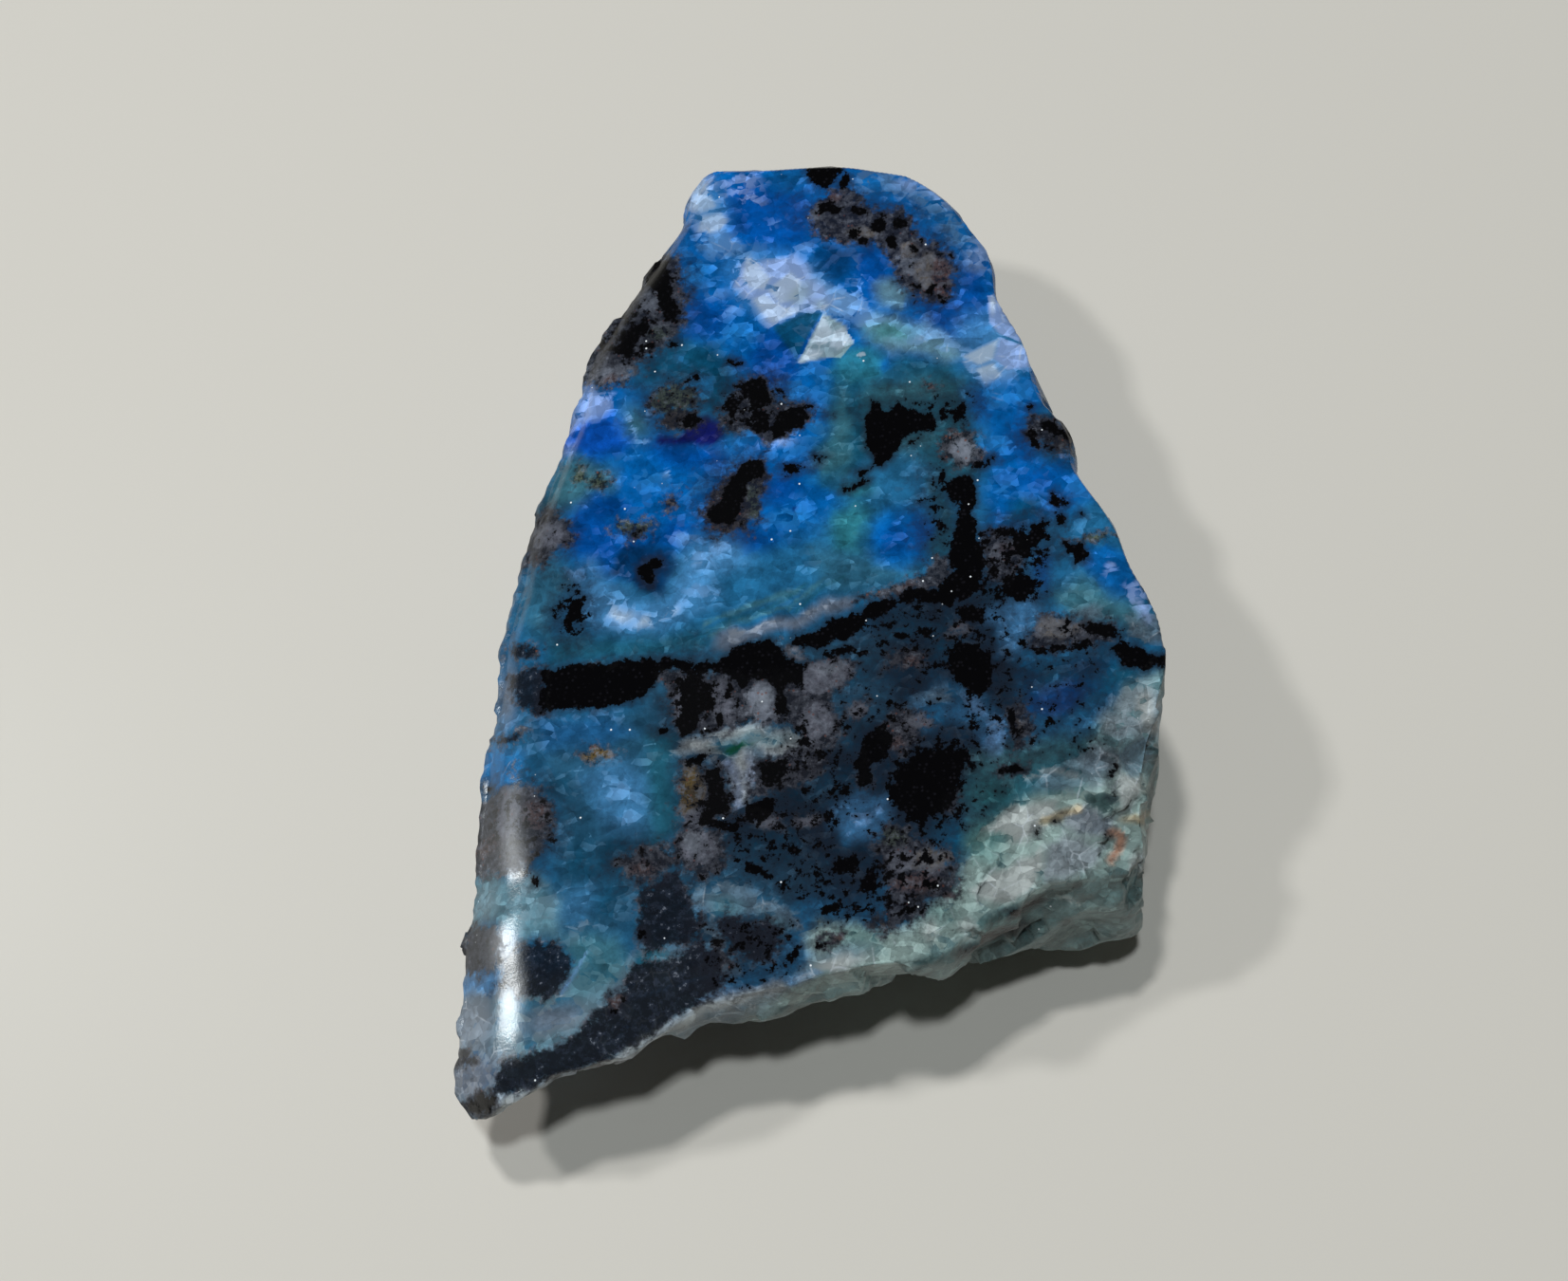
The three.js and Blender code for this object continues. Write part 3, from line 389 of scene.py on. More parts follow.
    ("pale blue", 0.8, 0.3, [oval(-14.6, -14, 1.4, 0.7, -40), oval(-14, -16.4, 1.0, 0.8),
     oval(-22.8, -7.4, 0.6, 1.8), oval(-21.4, -9.4, 0.4, 1.2), streak(0.2, -20.8, -7.8, -17.4, -7.7,
     -14, -7.9)]),
    ("teal", 0.8, 0.8, [patch(-12, -9.8, -10, -10, -10, -12, -10, -17.4, -11.6, -18.6, -12.2, -14)]),
    ("grey teal", 0.7, 0.7, [patch(-18, -25, -14, -25.6, -13, -27.6, -15, -29.6, -17.6, -29.6)]),
    ("light azure", 0.6, 0.8, [patch(-24.8, -11, -23, -10.4, -21.6, -10.6, -21.6, -12.6, -22.6, -13.4,
     -24.8, -13)]),
    ("pale steel", 0.6, 0.9, [patch(-26.4, -27.6, -24, -27.4, -22.8, -28.4, -23.4, -29.5, -26.4, -29.3)]),
    ("pale teal", 0.8, 0.7, [patch(-26.4, -20.6, -23.6, -20.4, -20.4, -20.4, -18.8, -22.4, -18.6, -25,
     -21.6, -25.4, -23.2, -24, -26.4, -24.2)]),
    ("mist", 0.8, 0.5, [oval(-20.4, -22.6, 1.6, 2), oval(-24.4, -22.4, 1.2, 1.2)]),
    ("grey teal", 0.7, 0.5, [patch(-23, -30, -22, -29.8, -17.4, -29.6, -14.6, -29.8, -16, -32, -18, -33.2,
     -21, -34.4, -23, -33.4)]),
    ("ash", 0.8, 0.7, [oval(-18.6, -31.6, 2.4, 1.0, 15), oval(-24.6, -35.4, 1.6, 1.6),
     oval(-23, -5.8, 0.7, 1.8)]),
    ("smoke", 0.9, 0.6, [oval(-24.6, -31.6, 1.6, 1.6), oval(-25.2, -36, 0.6, 1.2)]),
    ("pale blue", 0.15, 0.7, [streak(0.1, -16.4, -26.4, -17.2, -28, -18.2, -29.5), streak(0.09, -14, -30.3,
     -12, -30, -9, -29.1, -7.2, -28.8)]),

    # The pale star round the green pocket, and the pale band under it.
    ("mist", 0.4, 0.9, [patch(-9.6, -11, -8, -10, -6, -9.6, -3.4, -9.2, -1.2, -10, -0.4, -11, -1.6, -11.8,
     -3.4, -12.2, -4.2, -13.8, -4.4, -15, -5.4, -16, -5.6, -14, -6.4, -12.8, -7.4, -12.4, -8.4, -11.6)]),
    ("smoke", 0.4, 0.75, [patch(-9.4, -11, -8, -10.2, -6.2, -9.8, -6.8, -10.8, -6.2, -12, -4.6, -12.2,
     -4.4, -14, -5.2, -15.6, -5.7, -14, -6.5, -12.9, -8, -12), patch(-3.6, -9.6, -1.4, -10, -0.6, -11,
     -2, -11.6, -3.4, -11.6)]),
    ("frost", 0.4, 0.75, [oval(-8, -11, 1.8, 0.6), oval(-2.2, -10.7, 1.8, 0.9), oval(-5, -13.4, 0.9, 2),
     oval(-5.2, -9.9, 2.4, 0.5)]),
    ("lavender", 0.3, 0.4, [streak(0.4, -6.2, -12.2, -5.4, -13.6, -5.2, -15.6),
     oval(-4.4, -13.4, 0.4, 1.2)]),
    ("grey teal", 0.6, 0.6, [oval(-3.4, -10.4, 2, 0.6), oval(-6.4, -11, 0.9, 0.5)]),
    ("emerald", 0.2, 1.0, [patch(-6.5, -11.3, -5.8, -10.9, -4.4, -10.9, -3.9, -11.2, -4.8, -11.5,
     -6, -11.6)]),
    ("mist", 0.5, 0.75, [streak(0.5, -7.9, -25.4, -6.8, -26.6, -6.3, -28.2), patch(-8.8, -21.8, -6, -21.4,
     -4, -22.4, -2, -23.2, -0.4, -24.6, -0.4, -26, -2, -25.6, -3.4, -24.8, -5, -24.2, -6.6, -24.4,
     -7.4, -25.8, -8, -24, -9, -22.8)]),
    ("grey teal", 0.5, 0.5, [oval(-6.2, -23.6, 1.2, 0.8, -20), oval(-2.6, -24.8, 1.2, 0.4, -30)]),
    ("steel", 0.7, 0.8, [patch(-3, -27, -1, -26, 0.2, -27.4, -1, -29.4, -6, -30.6, -6.6, -29, -4, -28.6)]),
    ("pale blue", 0.3, 0.5, [streak(0.3, -8, -30.6, -5, -30, -2, -29.4, 0.6, -28.9)]),
    ("frost", 0.3, 0.8, [streak(0.4, -23, -38.2, -20, -37, -16.5, -35.7, -14, -34.8, -11, -32.8, -7, -30.9,
     -2, -29.6)]),
    ("quartz", 0.15, 0.8, [streak(0.2, -19.4, -36.4, -17.6, -35.6, -16, -35.3),
     oval(-20.6, -36.6, 0.4, 0.25), streak(0.14, -12, -33.6, -10, -32.2, -8.6, -31.4),
     oval(-22.6, -37.2, 0.3, 0.5)]),
    ("teal", 0.4, 0.85, [patch(-12.6, -26.4, -11, -26.1, -10.2, -27, -11.4, -27.9, -12.6, -27.7)]),
]

# Matrix round the ore, in which dark grains and rust specks lie.
MATRIX = [
    ("mauve", [patch(0.2, 33.6, 0.6, 34.6, 1.8, 35.8, 3, 36, 4, 35.4, 4.8, 34.4, 6, 33.6, 7.8, 33.8,
     8.4, 32.6, 8.2, 31.2, 10, 30.4, 11, 29.4, 11.4, 28, 11.2, 26.4, 10.6, 25, 9.4, 25.2, 8.4, 26.2, 7, 27,
     6.8, 28.6, 6.2, 30.2, 4.8, 31, 3, 31, 1.4, 31.6, 0.4, 32.2), patch(-16.8, 25.2, -12.6, 31.4, -10.6, 31,
     -9.8, 28, -9.9, 25, -11, 23.4, -13, 22.2, -14.2, 20.4, -16, 19.8, -18.6, 20.4), patch(-6.8, 17,
     -5.8, 18.4, -5.4, 19.6, -4, 19.8, -3, 19.4, -2.4, 17.6, -1, 17.2, 0.2, 16.6, 0.2, 15.4, -1.4, 14.4,
     -3, 13.8, -4.4, 14.8, -6, 15, -7, 16), patch(10.2, 13.4, 11.4, 14, 12.8, 13.6, 13.3, 12, 12.8, 10.8,
     11, 10.9, 10.2, 12), patch(16.6, 13.4, 17.4, 14.5, 18.6, 14.5, 19.8, 14, 20.4, 12.8, 20.4, 11.4,
     19.4, 11.4, 18.2, 12, 17, 12.5), patch(-22.6, 4.8, -21.6, 9, -20, 9.5, -18.8, 8.2, -18.4, 7,
     -19.6, 5.6, -20.8, 4.8), patch(3.2, 0.2, 5, 0.8, 7, 1.4, 8.6, 2.2, 9.4, 3.2, 10.6, 3.4, 11, 1.6,
     9, 0.6), patch(12.8, 4.4, 13.6, 5.4, 15, 5.2, 16.2, 4.8, 16.6, 3.4, 15.8, 1.6, 15, 0.8, 13.8, 1.4,
     13, 2.6), patch(16.2, -3.6, 17.2, -2.2, 19, -2, 21, -3, 22.6, -3, 22.4, -4.4, 20, -4.4, 18, -4.9,
     16.4, -4.7), patch(14.6, -9, 15.8, -8.6, 16.4, -10.6, 15.8, -12.6, 14.9, -12.2), patch(13.6, -13.9,
     15, -13.4, 16, -14, 15.4, -14.6, 14, -14.3)]),
    ("mauve", [patch(-11.6, -4.6, -7, -5, -0.6, -5.2, 2, -4.3, 3.4, -4.8, 3.2, -6.2, 1.8, -7, 1.6, -8.4,
     2.6, -10.4, 1.4, -11.6, 1, -13.4, -1, -14.6, -3, -14.8, -4.2, -15, -4.6, -12.8, -3, -12, -1, -11.6,
     -0.6, -10, -2.2, -9.4, -5, -9.2, -6.4, -9.8, -8.4, -10, -10.2, -9.6, -10.4, -7), patch(-8, -12.6,
     -6.6, -12.4, -5.8, -14.4, -5.6, -16, -7, -17, -9.4, -17.8, -9.2, -16), patch(-10.2, -18, -8.4, -16.9,
     -6.2, -17.6, -6, -19.4, -6.8, -21, -8.2, -21.2, -9.8, -20), patch(-14.4, -19.6, -12.6, -18.8,
     -10.8, -18.4, -10, -19.6, -10.8, -20.8, -13.4, -21), patch(5.2, -10, 6.6, -8.6, 8, -9, 8.2, -11,
     7, -12.4, 5.6, -12), patch(4.8, -19.2, 5.6, -18, 7.2, -18.1, 8.2, -19.2, 9.6, -20.2, 10.4, -21.4,
     10.8, -22.8, 9.8, -24, 8.4, -23.4, 8.2, -24.6, 7, -25.8, 5.4, -26, 5.4, -24.4, 5.8, -22.6),
     patch(-8.2, -26.2, -6.4, -26.4, -5.4, -27.8, -6.6, -28.8, -8, -27.8), patch(-26.6, -26, -25, -24,
     -23.4, -24.2, -22.8, -25.4, -23, -27, -24.4, -27.8, -26.6, -27.4), patch(-26, -15, -23.2, -13.6,
     -21.4, -12.9, -20.2, -13.6, -19.2, -15, -19, -16.6, -20, -18.4, -21.6, -20, -24.4, -20.6, -26, -19.6),
     patch(9.6, -15.6, 10.6, -15, 11.2, -16, 10.4, -17.2, 9.6, -16.8), patch(0.6, -26, 2.2, -25.7,
     2.5, -26.4, 1, -26.9), oval(7, -4.8, 1.2, 0.6)]),
    ("soot", [patch(-12.7, -21.9, -11.4, -21.6, -10.4, -20.5, -9.4, -20.9, -9.2, -22.4, -8, -24, -7.9, -26,
     -10, -26.3, -12, -26.6, -12.9, -25, -12.4, -23.6), patch(-6.8, -25, -6, -24.2, -4.8, -24.6, -4.2, -25,
     -3, -24.5, -2.2, -25.4, -2.2, -26.4, -2.8, -27.8, -4, -28, -5.4, -27.3, -6.4, -26), patch(-22.6, -34.6,
     -20, -33.8, -17.6, -33, -16.4, -32, -15.2, -30.6, -13.6, -29.4, -13, -28, -12, -27.4, -10, -27.2,
     -8, -26, -6.6, -27, -6.4, -29.6, -8, -30.6, -10.6, -32.2, -12.4, -33.6, -14.6, -34.8, -18, -35.8,
     -21, -36.8, -23, -37.2, -23, -35.8), patch(-22.6, -27, -21.4, -25.9, -20, -25.4, -18.2, -26,
     -17.4, -27.4, -18, -29, -19.4, -30.1, -21.4, -29.6, -22.4, -28.4), patch(-25, -37.4, -23.8, -36.8,
     -22.6, -37.4, -23, -38.6, -25, -38.8), patch(-26.6, -33.2, -25, -33.4, -24.2, -34.2, -25, -34.8,
     -26.6, -34.4), patch(-23, -4.6, -21.6, -3.8, -20, -3.8, -20, -7.7, -21, -7.6, -22.4, -6.4),
     oval(-22, -2.4, 1.1, 0.6), oval(-22.8, -9.5, 1.0, 0.35, 20)]),
    ("ash", [oval(-12.4, 27.2, 0.9, 1.2), oval(-15, 21, 1.5, 0.8), oval(-16.6, 24, 0.7, 0.9),
     oval(0.8, 34, 0.5), oval(-11.6, 24.2, 0.7), oval(8, 28.6, 0.8), oval(11.8, 12.2, 0.9, 0.8),
     oval(17.4, -3, 0.8, 0.5)]),
    ("pink grey", [oval(-8.2, -19, 1.3, 1.3), oval(1.2, -5.8, 2, 1.2, 20), oval(-6.6, -7.4, 0.8, 1.6, 20),
     oval(0.4, -9.4, 1.2, 1.6), oval(-9.6, -7.8, 0.7, 1.4, 15), oval(3.6, -8.6, 0.8, 0.6, 40),
     oval(8.2, -9.8, 0.9, 0.5), oval(-8.6, -16.4, 1.1, 0.6, -30), oval(-3.4, -16.8, 1.2, 0.6, -30),
     oval(-0.2, -17.2, 0.8, 0.5), oval(11.2, -2.6, 0.9, 0.4, 30), oval(4, -13.6, 0.5, 1.0),
     oval(9.6, 28.2, 1.0, 1.2), oval(6.6, -20.6, 1.0, 0.9), oval(9, -21.2, 0.9, 0.7),
     oval(-20.2, 7.2, 1.3, 1.0), oval(19.2, -3, 1.0, 0.5), oval(-9.2, -5.6, 0.7, 0.5),
     oval(14.4, 3.4, 0.8, 0.8), oval(-22.6, -15.4, 0.8, 2.4, -10)]),
    ("ash", [patch(-4.6, -7.4, -4.2, -6.2, -3.3, -5.9, -2.6, -6.8, -2.5, -8.6, -3.6, -9.2, -4.2, -8.4),
     oval(-1.3, -3.7, 0.7, 0.35, -40)]),
    ("smoke", [oval(-3.4, -7.2, 0.5, 0.8), oval(-8.6, -18.4, 0.5, 0.8, 30), oval(1.6, -5.2, 0.7, 0.3, 20)]),
    ("dun", [oval(18.6, -3, 1.5, 0.7), oval(9.4, 28, 1.0, 1.6), oval(8, 30, 0.7, 0.6),
     oval(8.8, -20.6, 1.4, 0.8), oval(4.4, 31.9, 1.2, 0.5)]),
    ("rust", [oval(10.4, 27.4, 0.8, 1.6), oval(2.1, 35.2, 0.5), oval(-15.7, 20.4, 0.5, 0.4),
     oval(9.5, 17.9, 0.25, 0.2), oval(11.3, 13.7, 0.4, 0.25), oval(15, 3.8, 0.6, 0.3),
     oval(7.6, -5.1, 0.5, 0.3), oval(6.3, -11.6, 0.6, 0.4), oval(-20.6, -15.6, 1.0, 1.2, 40),
     oval(-24.2, -18.2, 1.4, 0.6, 20), oval(7.8, -22.4, 1.6, 0.6), oval(9.9, -23.5, 0.4, 0.3),
     oval(2, -26.2, 0.3), oval(-14.2, -30.3, 0.5), oval(-12.4, -20.2, 0.9, 0.4),
     oval(7.2, 1, 0.7, 0.25, 20)]),
    ("brown", [patch(-5.6, 12, -4.6, 12.6, -3.6, 12.3, -3.1, 11, -3.7, 9.6, -3.8, 8, -5, 6.9, -6.4, 6.3,
     -7.9, 7, -8.4, 8.2, -7.8, 9.6, -6.6, 10.8), patch(-11.6, 17, -10, 17.6, -8.6, 17, -8.6, 15.8,
     -10.4, 15.4, -11.8, 16), oval(-10.6, 9.4, 0.5, 0.7, -20), oval(15.2, -10.6, 0.5, 1.4),
     oval(-2.6, -13, 1.0, 0.7), oval(5.2, -25.2, 0.6), oval(19.2, 12.4, 0.7, 0.8)]),
    ("olive", [patch(-12.6, 17.6, -11.8, 19.2, -10.4, 19.7, -9, 19.2, -8.6, 18, -9.6, 17.4, -11.6, 17),
     oval(-4.3, 8.9, 0.5, 1.6), oval(-11.8, 24.2, 0.8, 0.5), oval(-13.7, 7.4, 1.4, 0.75),
     oval(21.6, 4.2, 1.0, 0.3, 10), oval(6, -18.8, 1.0, 0.6), oval(-16.5, 11.6, 0.8, 0.6),
     oval(-18, 12.2, 0.6, 0.8)]),
    ("gold", [patch(-9.4, -12, -8.4, -12.4, -8, -13.6, -8, -15, -8.5, -16, -9.4, -16.3, -9.8, -14.5),
     oval(-14.6, -4, 0.3, 0.15), oval(-16.5, -3.8, 0.3, 0.15), oval(-16, -11.1, 1.0, 0.5)]),
]

# Solid black ore, with crisp edges.
ORE = [
    # The crown and the shoulders.
    patch(-0.2, 40, 2.7, 40, 2.6, 37.6, 2, 36.6, 1.2, 36.3, 0.6, 36.4, 0.1, 37.2), oval(3, 36.6, 0.5),
    patch(0.8, 34.4, 2, 34.8, 3, 34.3, 2.4, 33.8, 1.3, 33.9), oval(4, 33.9, 0.6, 0.4), patch(4.9, 32.6,
    6, 33.1, 6.4, 32.3, 5.8, 31.4), oval(7.3, 32.5, 0.6, 0.5), oval(6.7, 30.8, 0.4, 0.5),
    oval(3.5, 31.7, 0.45, 0.5), oval(4.4, 31.2, 0.3), oval(7.4, 27.6, 0.35, 0.25), oval(9.6, 26.3, 0.3),
    oval(10.2, 25.7, 0.25), oval(8.7, 26.6, 0.2), oval(10.7, 25, 0.2), oval(8.4, 30, 0.3), patch(-13.4, 31,
    -11.2, 30.4, -11, 28.4, -10.6, 27, -10, 26, -10.4, 25, -11.4, 25.6, -11.8, 27.4, -12.6, 28.6),
    patch(-15, 24.6, -13.8, 25, -12.8, 25.8, -12.6, 24.6, -13.6, 23.4, -14.4, 22.2, -15.2, 22.8),
    oval(-10.7, 23.3, 0.4, 0.3), oval(-16.4, 23.6, 0.3, 0.6), oval(-12.8, 29.4, 0.5, 0.6), patch(-5.4, 19.4,
    -4, 19.7, -3.2, 19.1, -3.1, 17.6, -3.8, 17, -4.6, 17.6, -5.2, 18.4), patch(-6.8, 17, -5.6, 18, -5, 17.4,
    -5.8, 16.4), patch(-4.4, 16.8, -3.4, 16.4, -2.9, 15, -4, 14.7), patch(-2.5, 16.6, -1, 16.9, -0.1, 16.5,
    -0.3, 15.2, -1.6, 14.6, -2.8, 14.1, -3, 15), oval(-5.8, 21, 0.35, 0.25), oval(-9.2, 16.4, 0.8, 0.4),
    oval(-8.9, 19.9, 0.4, 0.2), oval(0, 16.6, 0.25), oval(1.5, 15.8, 0.25, 0.15), patch(-5.1, 12.5,
    -4, 12.6, -3.3, 11.7, -3.9, 11, -4.8, 10.5, -5, 9.4, -5.4, 8, -6, 7, -7.4, 7.3, -7.9, 8.4, -7, 9,
    -6.4, 10, -5.8, 11.2), oval(-1.2, 11.5, 0.8, 0.3), oval(0.7, 12.4, 0.25, 0.15), patch(-13.2, 4,
    -12.6, 4.7, -11.6, 4.7, -11.2, 4.1, -11.8, 3.6, -11.9, 2.5, -12.6, 2.6, -13, 3.3),
    oval(-13.6, 7.1, 0.4, 0.25), patch(-18.9, 0.6, -18, 1.7, -17.3, 1.9, -17.4, 0.6, -18, -0.6,
    -18.6, -0.7), patch(4.6, 16.2, 5, 17, 6, 16, 6.6, 16.2, 7, 16.6, 7.3, 16, 8.4, 15.8, 9.7, 15.4,
    9.9, 14.7, 9.4, 14, 8, 14, 7.4, 13.6, 6.8, 12.6, 6.4, 11.8, 5.8, 11.3, 5, 11.5, 4.9, 12.4, 4.3, 13.4,
    4.5, 15), patch(7.1, 12.8, 7.8, 13.3, 8.7, 13.4, 8, 12.8), streak(0.2, 10.4, 15, 10.6, 16.2),
    patch(11.2, 14.8, 11.4, 16.4, 12, 16.4, 12, 14.8), oval(11, 15.4, 0.3, 0.2), streak(0.25, 2.7, 9.6,
    3.4, 9.5, 4.3, 10.1), streak(0.2, 3.9, 10.8, 4.5, 11.1), patch(9.7, 10.6, 10.4, 10.9, 10.8, 9.6,
    10, 9.3), streak(0.2, 12.6, 10.6, 13.4, 10.9, 14.2, 11.2), patch(10.2, 9, 11, 10, 12.5, 10, 12.7, 9,
    12.4, 7, 12.7, 5.4, 13, 4, 13.3, 2.6, 12.8, 1.4, 11.6, 1.8, 10.6, 2.4, 10.6, 4, 11, 5.4, 11.5, 6.6,
    11.4, 7.8, 10.6, 8.4), patch(16.6, 13.2, 17.2, 13.8, 17.9, 13.4, 17.4, 12.8), patch(18, 13.7, 19, 14,
    19.2, 13, 18.3, 13), oval(17.2, 12.4, 0.25), oval(19.7, 12.8, 0.3, 0.5), oval(17, 15.3, 0.3, 0.2),
    patch(18.2, 7, 18.4, 8.1, 19, 7.6, 19.6, 7.1, 18.9, 6.8), oval(18.9, 5.9, 0.25, 0.4),
    oval(20.5, 6.1, 0.2), patch(15.2, 5.2, 16.4, 5, 17.4, 5.6, 18.2, 5.8, 17.8, 4.6, 17, 3.6, 16.2, 2.6,
    15.6, 3.6), patch(19.2, 3.7, 19.9, 3.8, 20.6, 4, 20.8, 2.5, 20, 2.2, 19.6, 3), patch(14.6, 0.2, 15, 1.2,
    16, 1.6, 17, 1.2, 16.8, 0, 15.6, -0.5), oval(16.2, 0, 0.7, 0.4),

    # The long vein.
    patch(-20.4, -3.9, -17, -3.7, -12.6, -3.6, -10, -3.7, -8.5, -4.1, -7, -4.2, -5.7, -3, -4.3, -2.8,
    -3, -2.6, -2.2, -3.1, -1.8, -4, -0.6, -4.7, -0.3, -5.6, -0.8, -6.4, -1.6, -6.4, -1.8, -8.2, -2.4, -8.9,
    -2.5, -6.8, -3.3, -5.8, -4.2, -5.8, -5.2, -6.4, -5.6, -5.7, -6.4, -5.2, -8, -4.8, -10, -4.5,
    -11.4, -4.8, -11.8, -6, -13.4, -7, -15, -7.3, -20.4, -7.4), patch(-1, -2.3, 0, -2.3, 1, -1.9, 1.8, -1.2,
    2.8, -1.2, 4, -0.6, 5.4, 0.1, 6.6, 0.2, 7.4, 1, 8.4, 0.9, 9.6, 0.6, 10.4, 1.6, 11.4, 2.4, 12.8, 2,
    13, 0.6, 12, 0, 10.4, -0.6, 9, -0.2, 8, 0, 6.6, -0.4, 5.6, -1, 4.4, -1.6, 4, -2.4, 3, -2.8, 1.6, -3,
    0.4, -3.6, -0.6, -3.4, -1.4, -3), streak(0.22, 1.2, -4.1, 2.6, -3.9, 4.2, -4), patch(-10.2, -5.4,
    -8.6, -5, -7.6, -5.8, -7.4, -7, -8, -8.2, -8.4, -9.7, -9.4, -9.9, -10.3, -9.2, -9.6, -7.6),
    oval(-5.5, -7.6, 0.2, 0.6), oval(-6.8, -8.8, 0.2, 0.7), oval(-5.9, -6.4, 0.3, 0.5),

    # Below the vein.
    patch(10.4, -5, 11, -3.6, 12.6, -4, 13.6, -5, 13.6, -7.4, 12.8, -8.2, 11.4, -7.2, 10.6, -6.2),
    patch(11, -0.9, 12.2, -0.8, 13.2, -1.6, 13, -2.4, 11.6, -2), oval(7.3, -3.1, 0.5, 0.35),
    oval(8.8, -2.6, 0.4, 0.4), patch(15.6, -3.6, 16, -3.5, 16, -4.3, 15.6, -4.2),
    oval(19.3, -2.4, 0.3, 0.2), streak(0.25, 16.5, -4.6, 17.6, -4.8, 18.5, -4.6),
    oval(20.3, -4.4, 0.6, 0.3), patch(20.6, -3.2, 21.4, -2.9, 22.6, -3.2, 23.3, -3.8, 22.4, -4.1,
    21.4, -3.7), patch(22.1, -4.7, 23.2, -4.3, 24.4, -4.9, 25, -5.4, 26.6, -5.9, 26.6, -6.5, 25.4, -6.4,
    24.8, -6.9, 24, -6.3, 23.2, -6.2, 22.6, -5.5), patch(14.7, -9, 15.3, -9.4, 15.4, -11, 15.2, -12,
    14.9, -11.8), oval(19.8, -8.8, 0.2), oval(17.8, -9.8, 0.25), patch(13.8, -13.9, 15, -13.6, 15.6, -14,
    15, -14.4, 14, -14.2), oval(17.6, -10.5, 0.2), patch(19.7, -12.5, 20.6, -12.6, 20.4, -13, 19.9, -12.9),
    oval(17, -12.6, 0.3, 0.2), patch(4.2, -10.4, 5.6, -9.8, 6.1, -11, 5.9, -12.4, 4.8, -12.8, 4.4, -15,
    3.7, -14.8, 3.2, -12.8, 3.8, -11.8), patch(6.4, -13, 8, -12.4, 10, -12, 12, -12.2, 11.4, -13.6,
    10.6, -15, 10.6, -16.2, 9.4, -17.2, 8, -17.6, 6.6, -16.8, 5.8, -15.4, 6.2, -14.4),
    oval(-10.9, -9.5, 0.45, 0.3), oval(-8.3, -11.9, 0.9, 0.35, 15), patch(-7.8, -12.8, -7, -12.5,
    -6.4, -13.2, -6, -14.8, -6, -16, -7.2, -16.6, -8.2, -16.4, -7.6, -15), patch(-3.9, -13, -2.9, -12.3,
    -1.8, -12.3, -1.6, -13.2, -2.8, -14.4, -3.6, -14.3), patch(-4.6, -15.7, -3.6, -15.1, -2.5, -15.4,
    -2.5, -16.4, -3.4, -17.1, -4.6, -16.8), patch(-9.4, -17, -7.4, -16.6, -5.6, -17.2, -5.2, -18.4,
    -6.2, -17.6, -8, -17), oval(-0.6, -10.6, 0.3, 0.5, 30), oval(1, -11.9, 0.6, 0.3),
    oval(2.8, -9.9, 0.4, 0.2), patch(1.5, -20.6, 2.8, -20, 3.9, -20.3, 3.6, -21.2, 2.2, -21.4),
    oval(4.4, -22.2, 0.6, 0.9), streak(0.25, 0.9, -24.2, 2.2, -23.8, 3.8, -24.1),
    oval(-4, -20.8, 1.0, 0.5, -20), patch(6, -24.5, 7, -23.9, 7.8, -24.5, 7, -24.9),
    oval(8.2, -20.6, 0.7, 0.4, 20), oval(5.7, -19.8, 0.3, 0.2), oval(5.8, -23.8, 0.4, 0.3),
    oval(1.1, -26.7, 0.35, 0.15), oval(6.9, -20.4, 0.2, 0.3), oval(9.2, -22.3, 0.35, 0.25),
    oval(8.4, -22.4, 0.25), oval(-1, -27.4, 0.25, 0.5), oval(-4.6, -29.6, 0.3, 0.2),
    oval(-1.1, -19.4, 0.5, 0.3),

    # The left edge and the tip.
    oval(-22.6, -14.6, 0.2), oval(-21.8, -16.6, 0.2), oval(-22, -17.9, 0.35, 0.2),
    oval(-20.2, -16.4, 0.2, 0.3), patch(-21.8, -20.2, -21, -19.8, -20.8, -20.3, -21.4, -20.6),
    oval(-20.4, -21, 0.3, 0.3), streak(0.12, -23.4, -27, -22.5, -26.5, -21.4, -25.9),
    oval(-22.6, -28.8, 0.45, 0.25, 20), patch(-24.6, -37.5, -23.6, -37, -22.8, -37.4, -23, -38.2,
    -24.4, -38.4), oval(-24.2, -13.3, 0.3, 0.2), oval(-12.4, -25.4, 0.25), streak(0.08, -14.7, -30,
    -14.2, -29.8, -13.7, -30.2, -13.8, -30.8, -14.4, -30.9),

    # Cracks and specks of the broken corner.
    oval(21.5, -19.4, 0.2), oval(16.5, -19, 0.12), oval(17.9, -18.2, 0.15), streak(0.07, 21.8, -13,
    21.9, -14.8, 21.8, -16.4), streak(0.16, 14, -25.4, 15.4, -25, 17, -24.4), streak(0.12, 11, -27.9,
    13, -27.2, 15, -26.8),
]

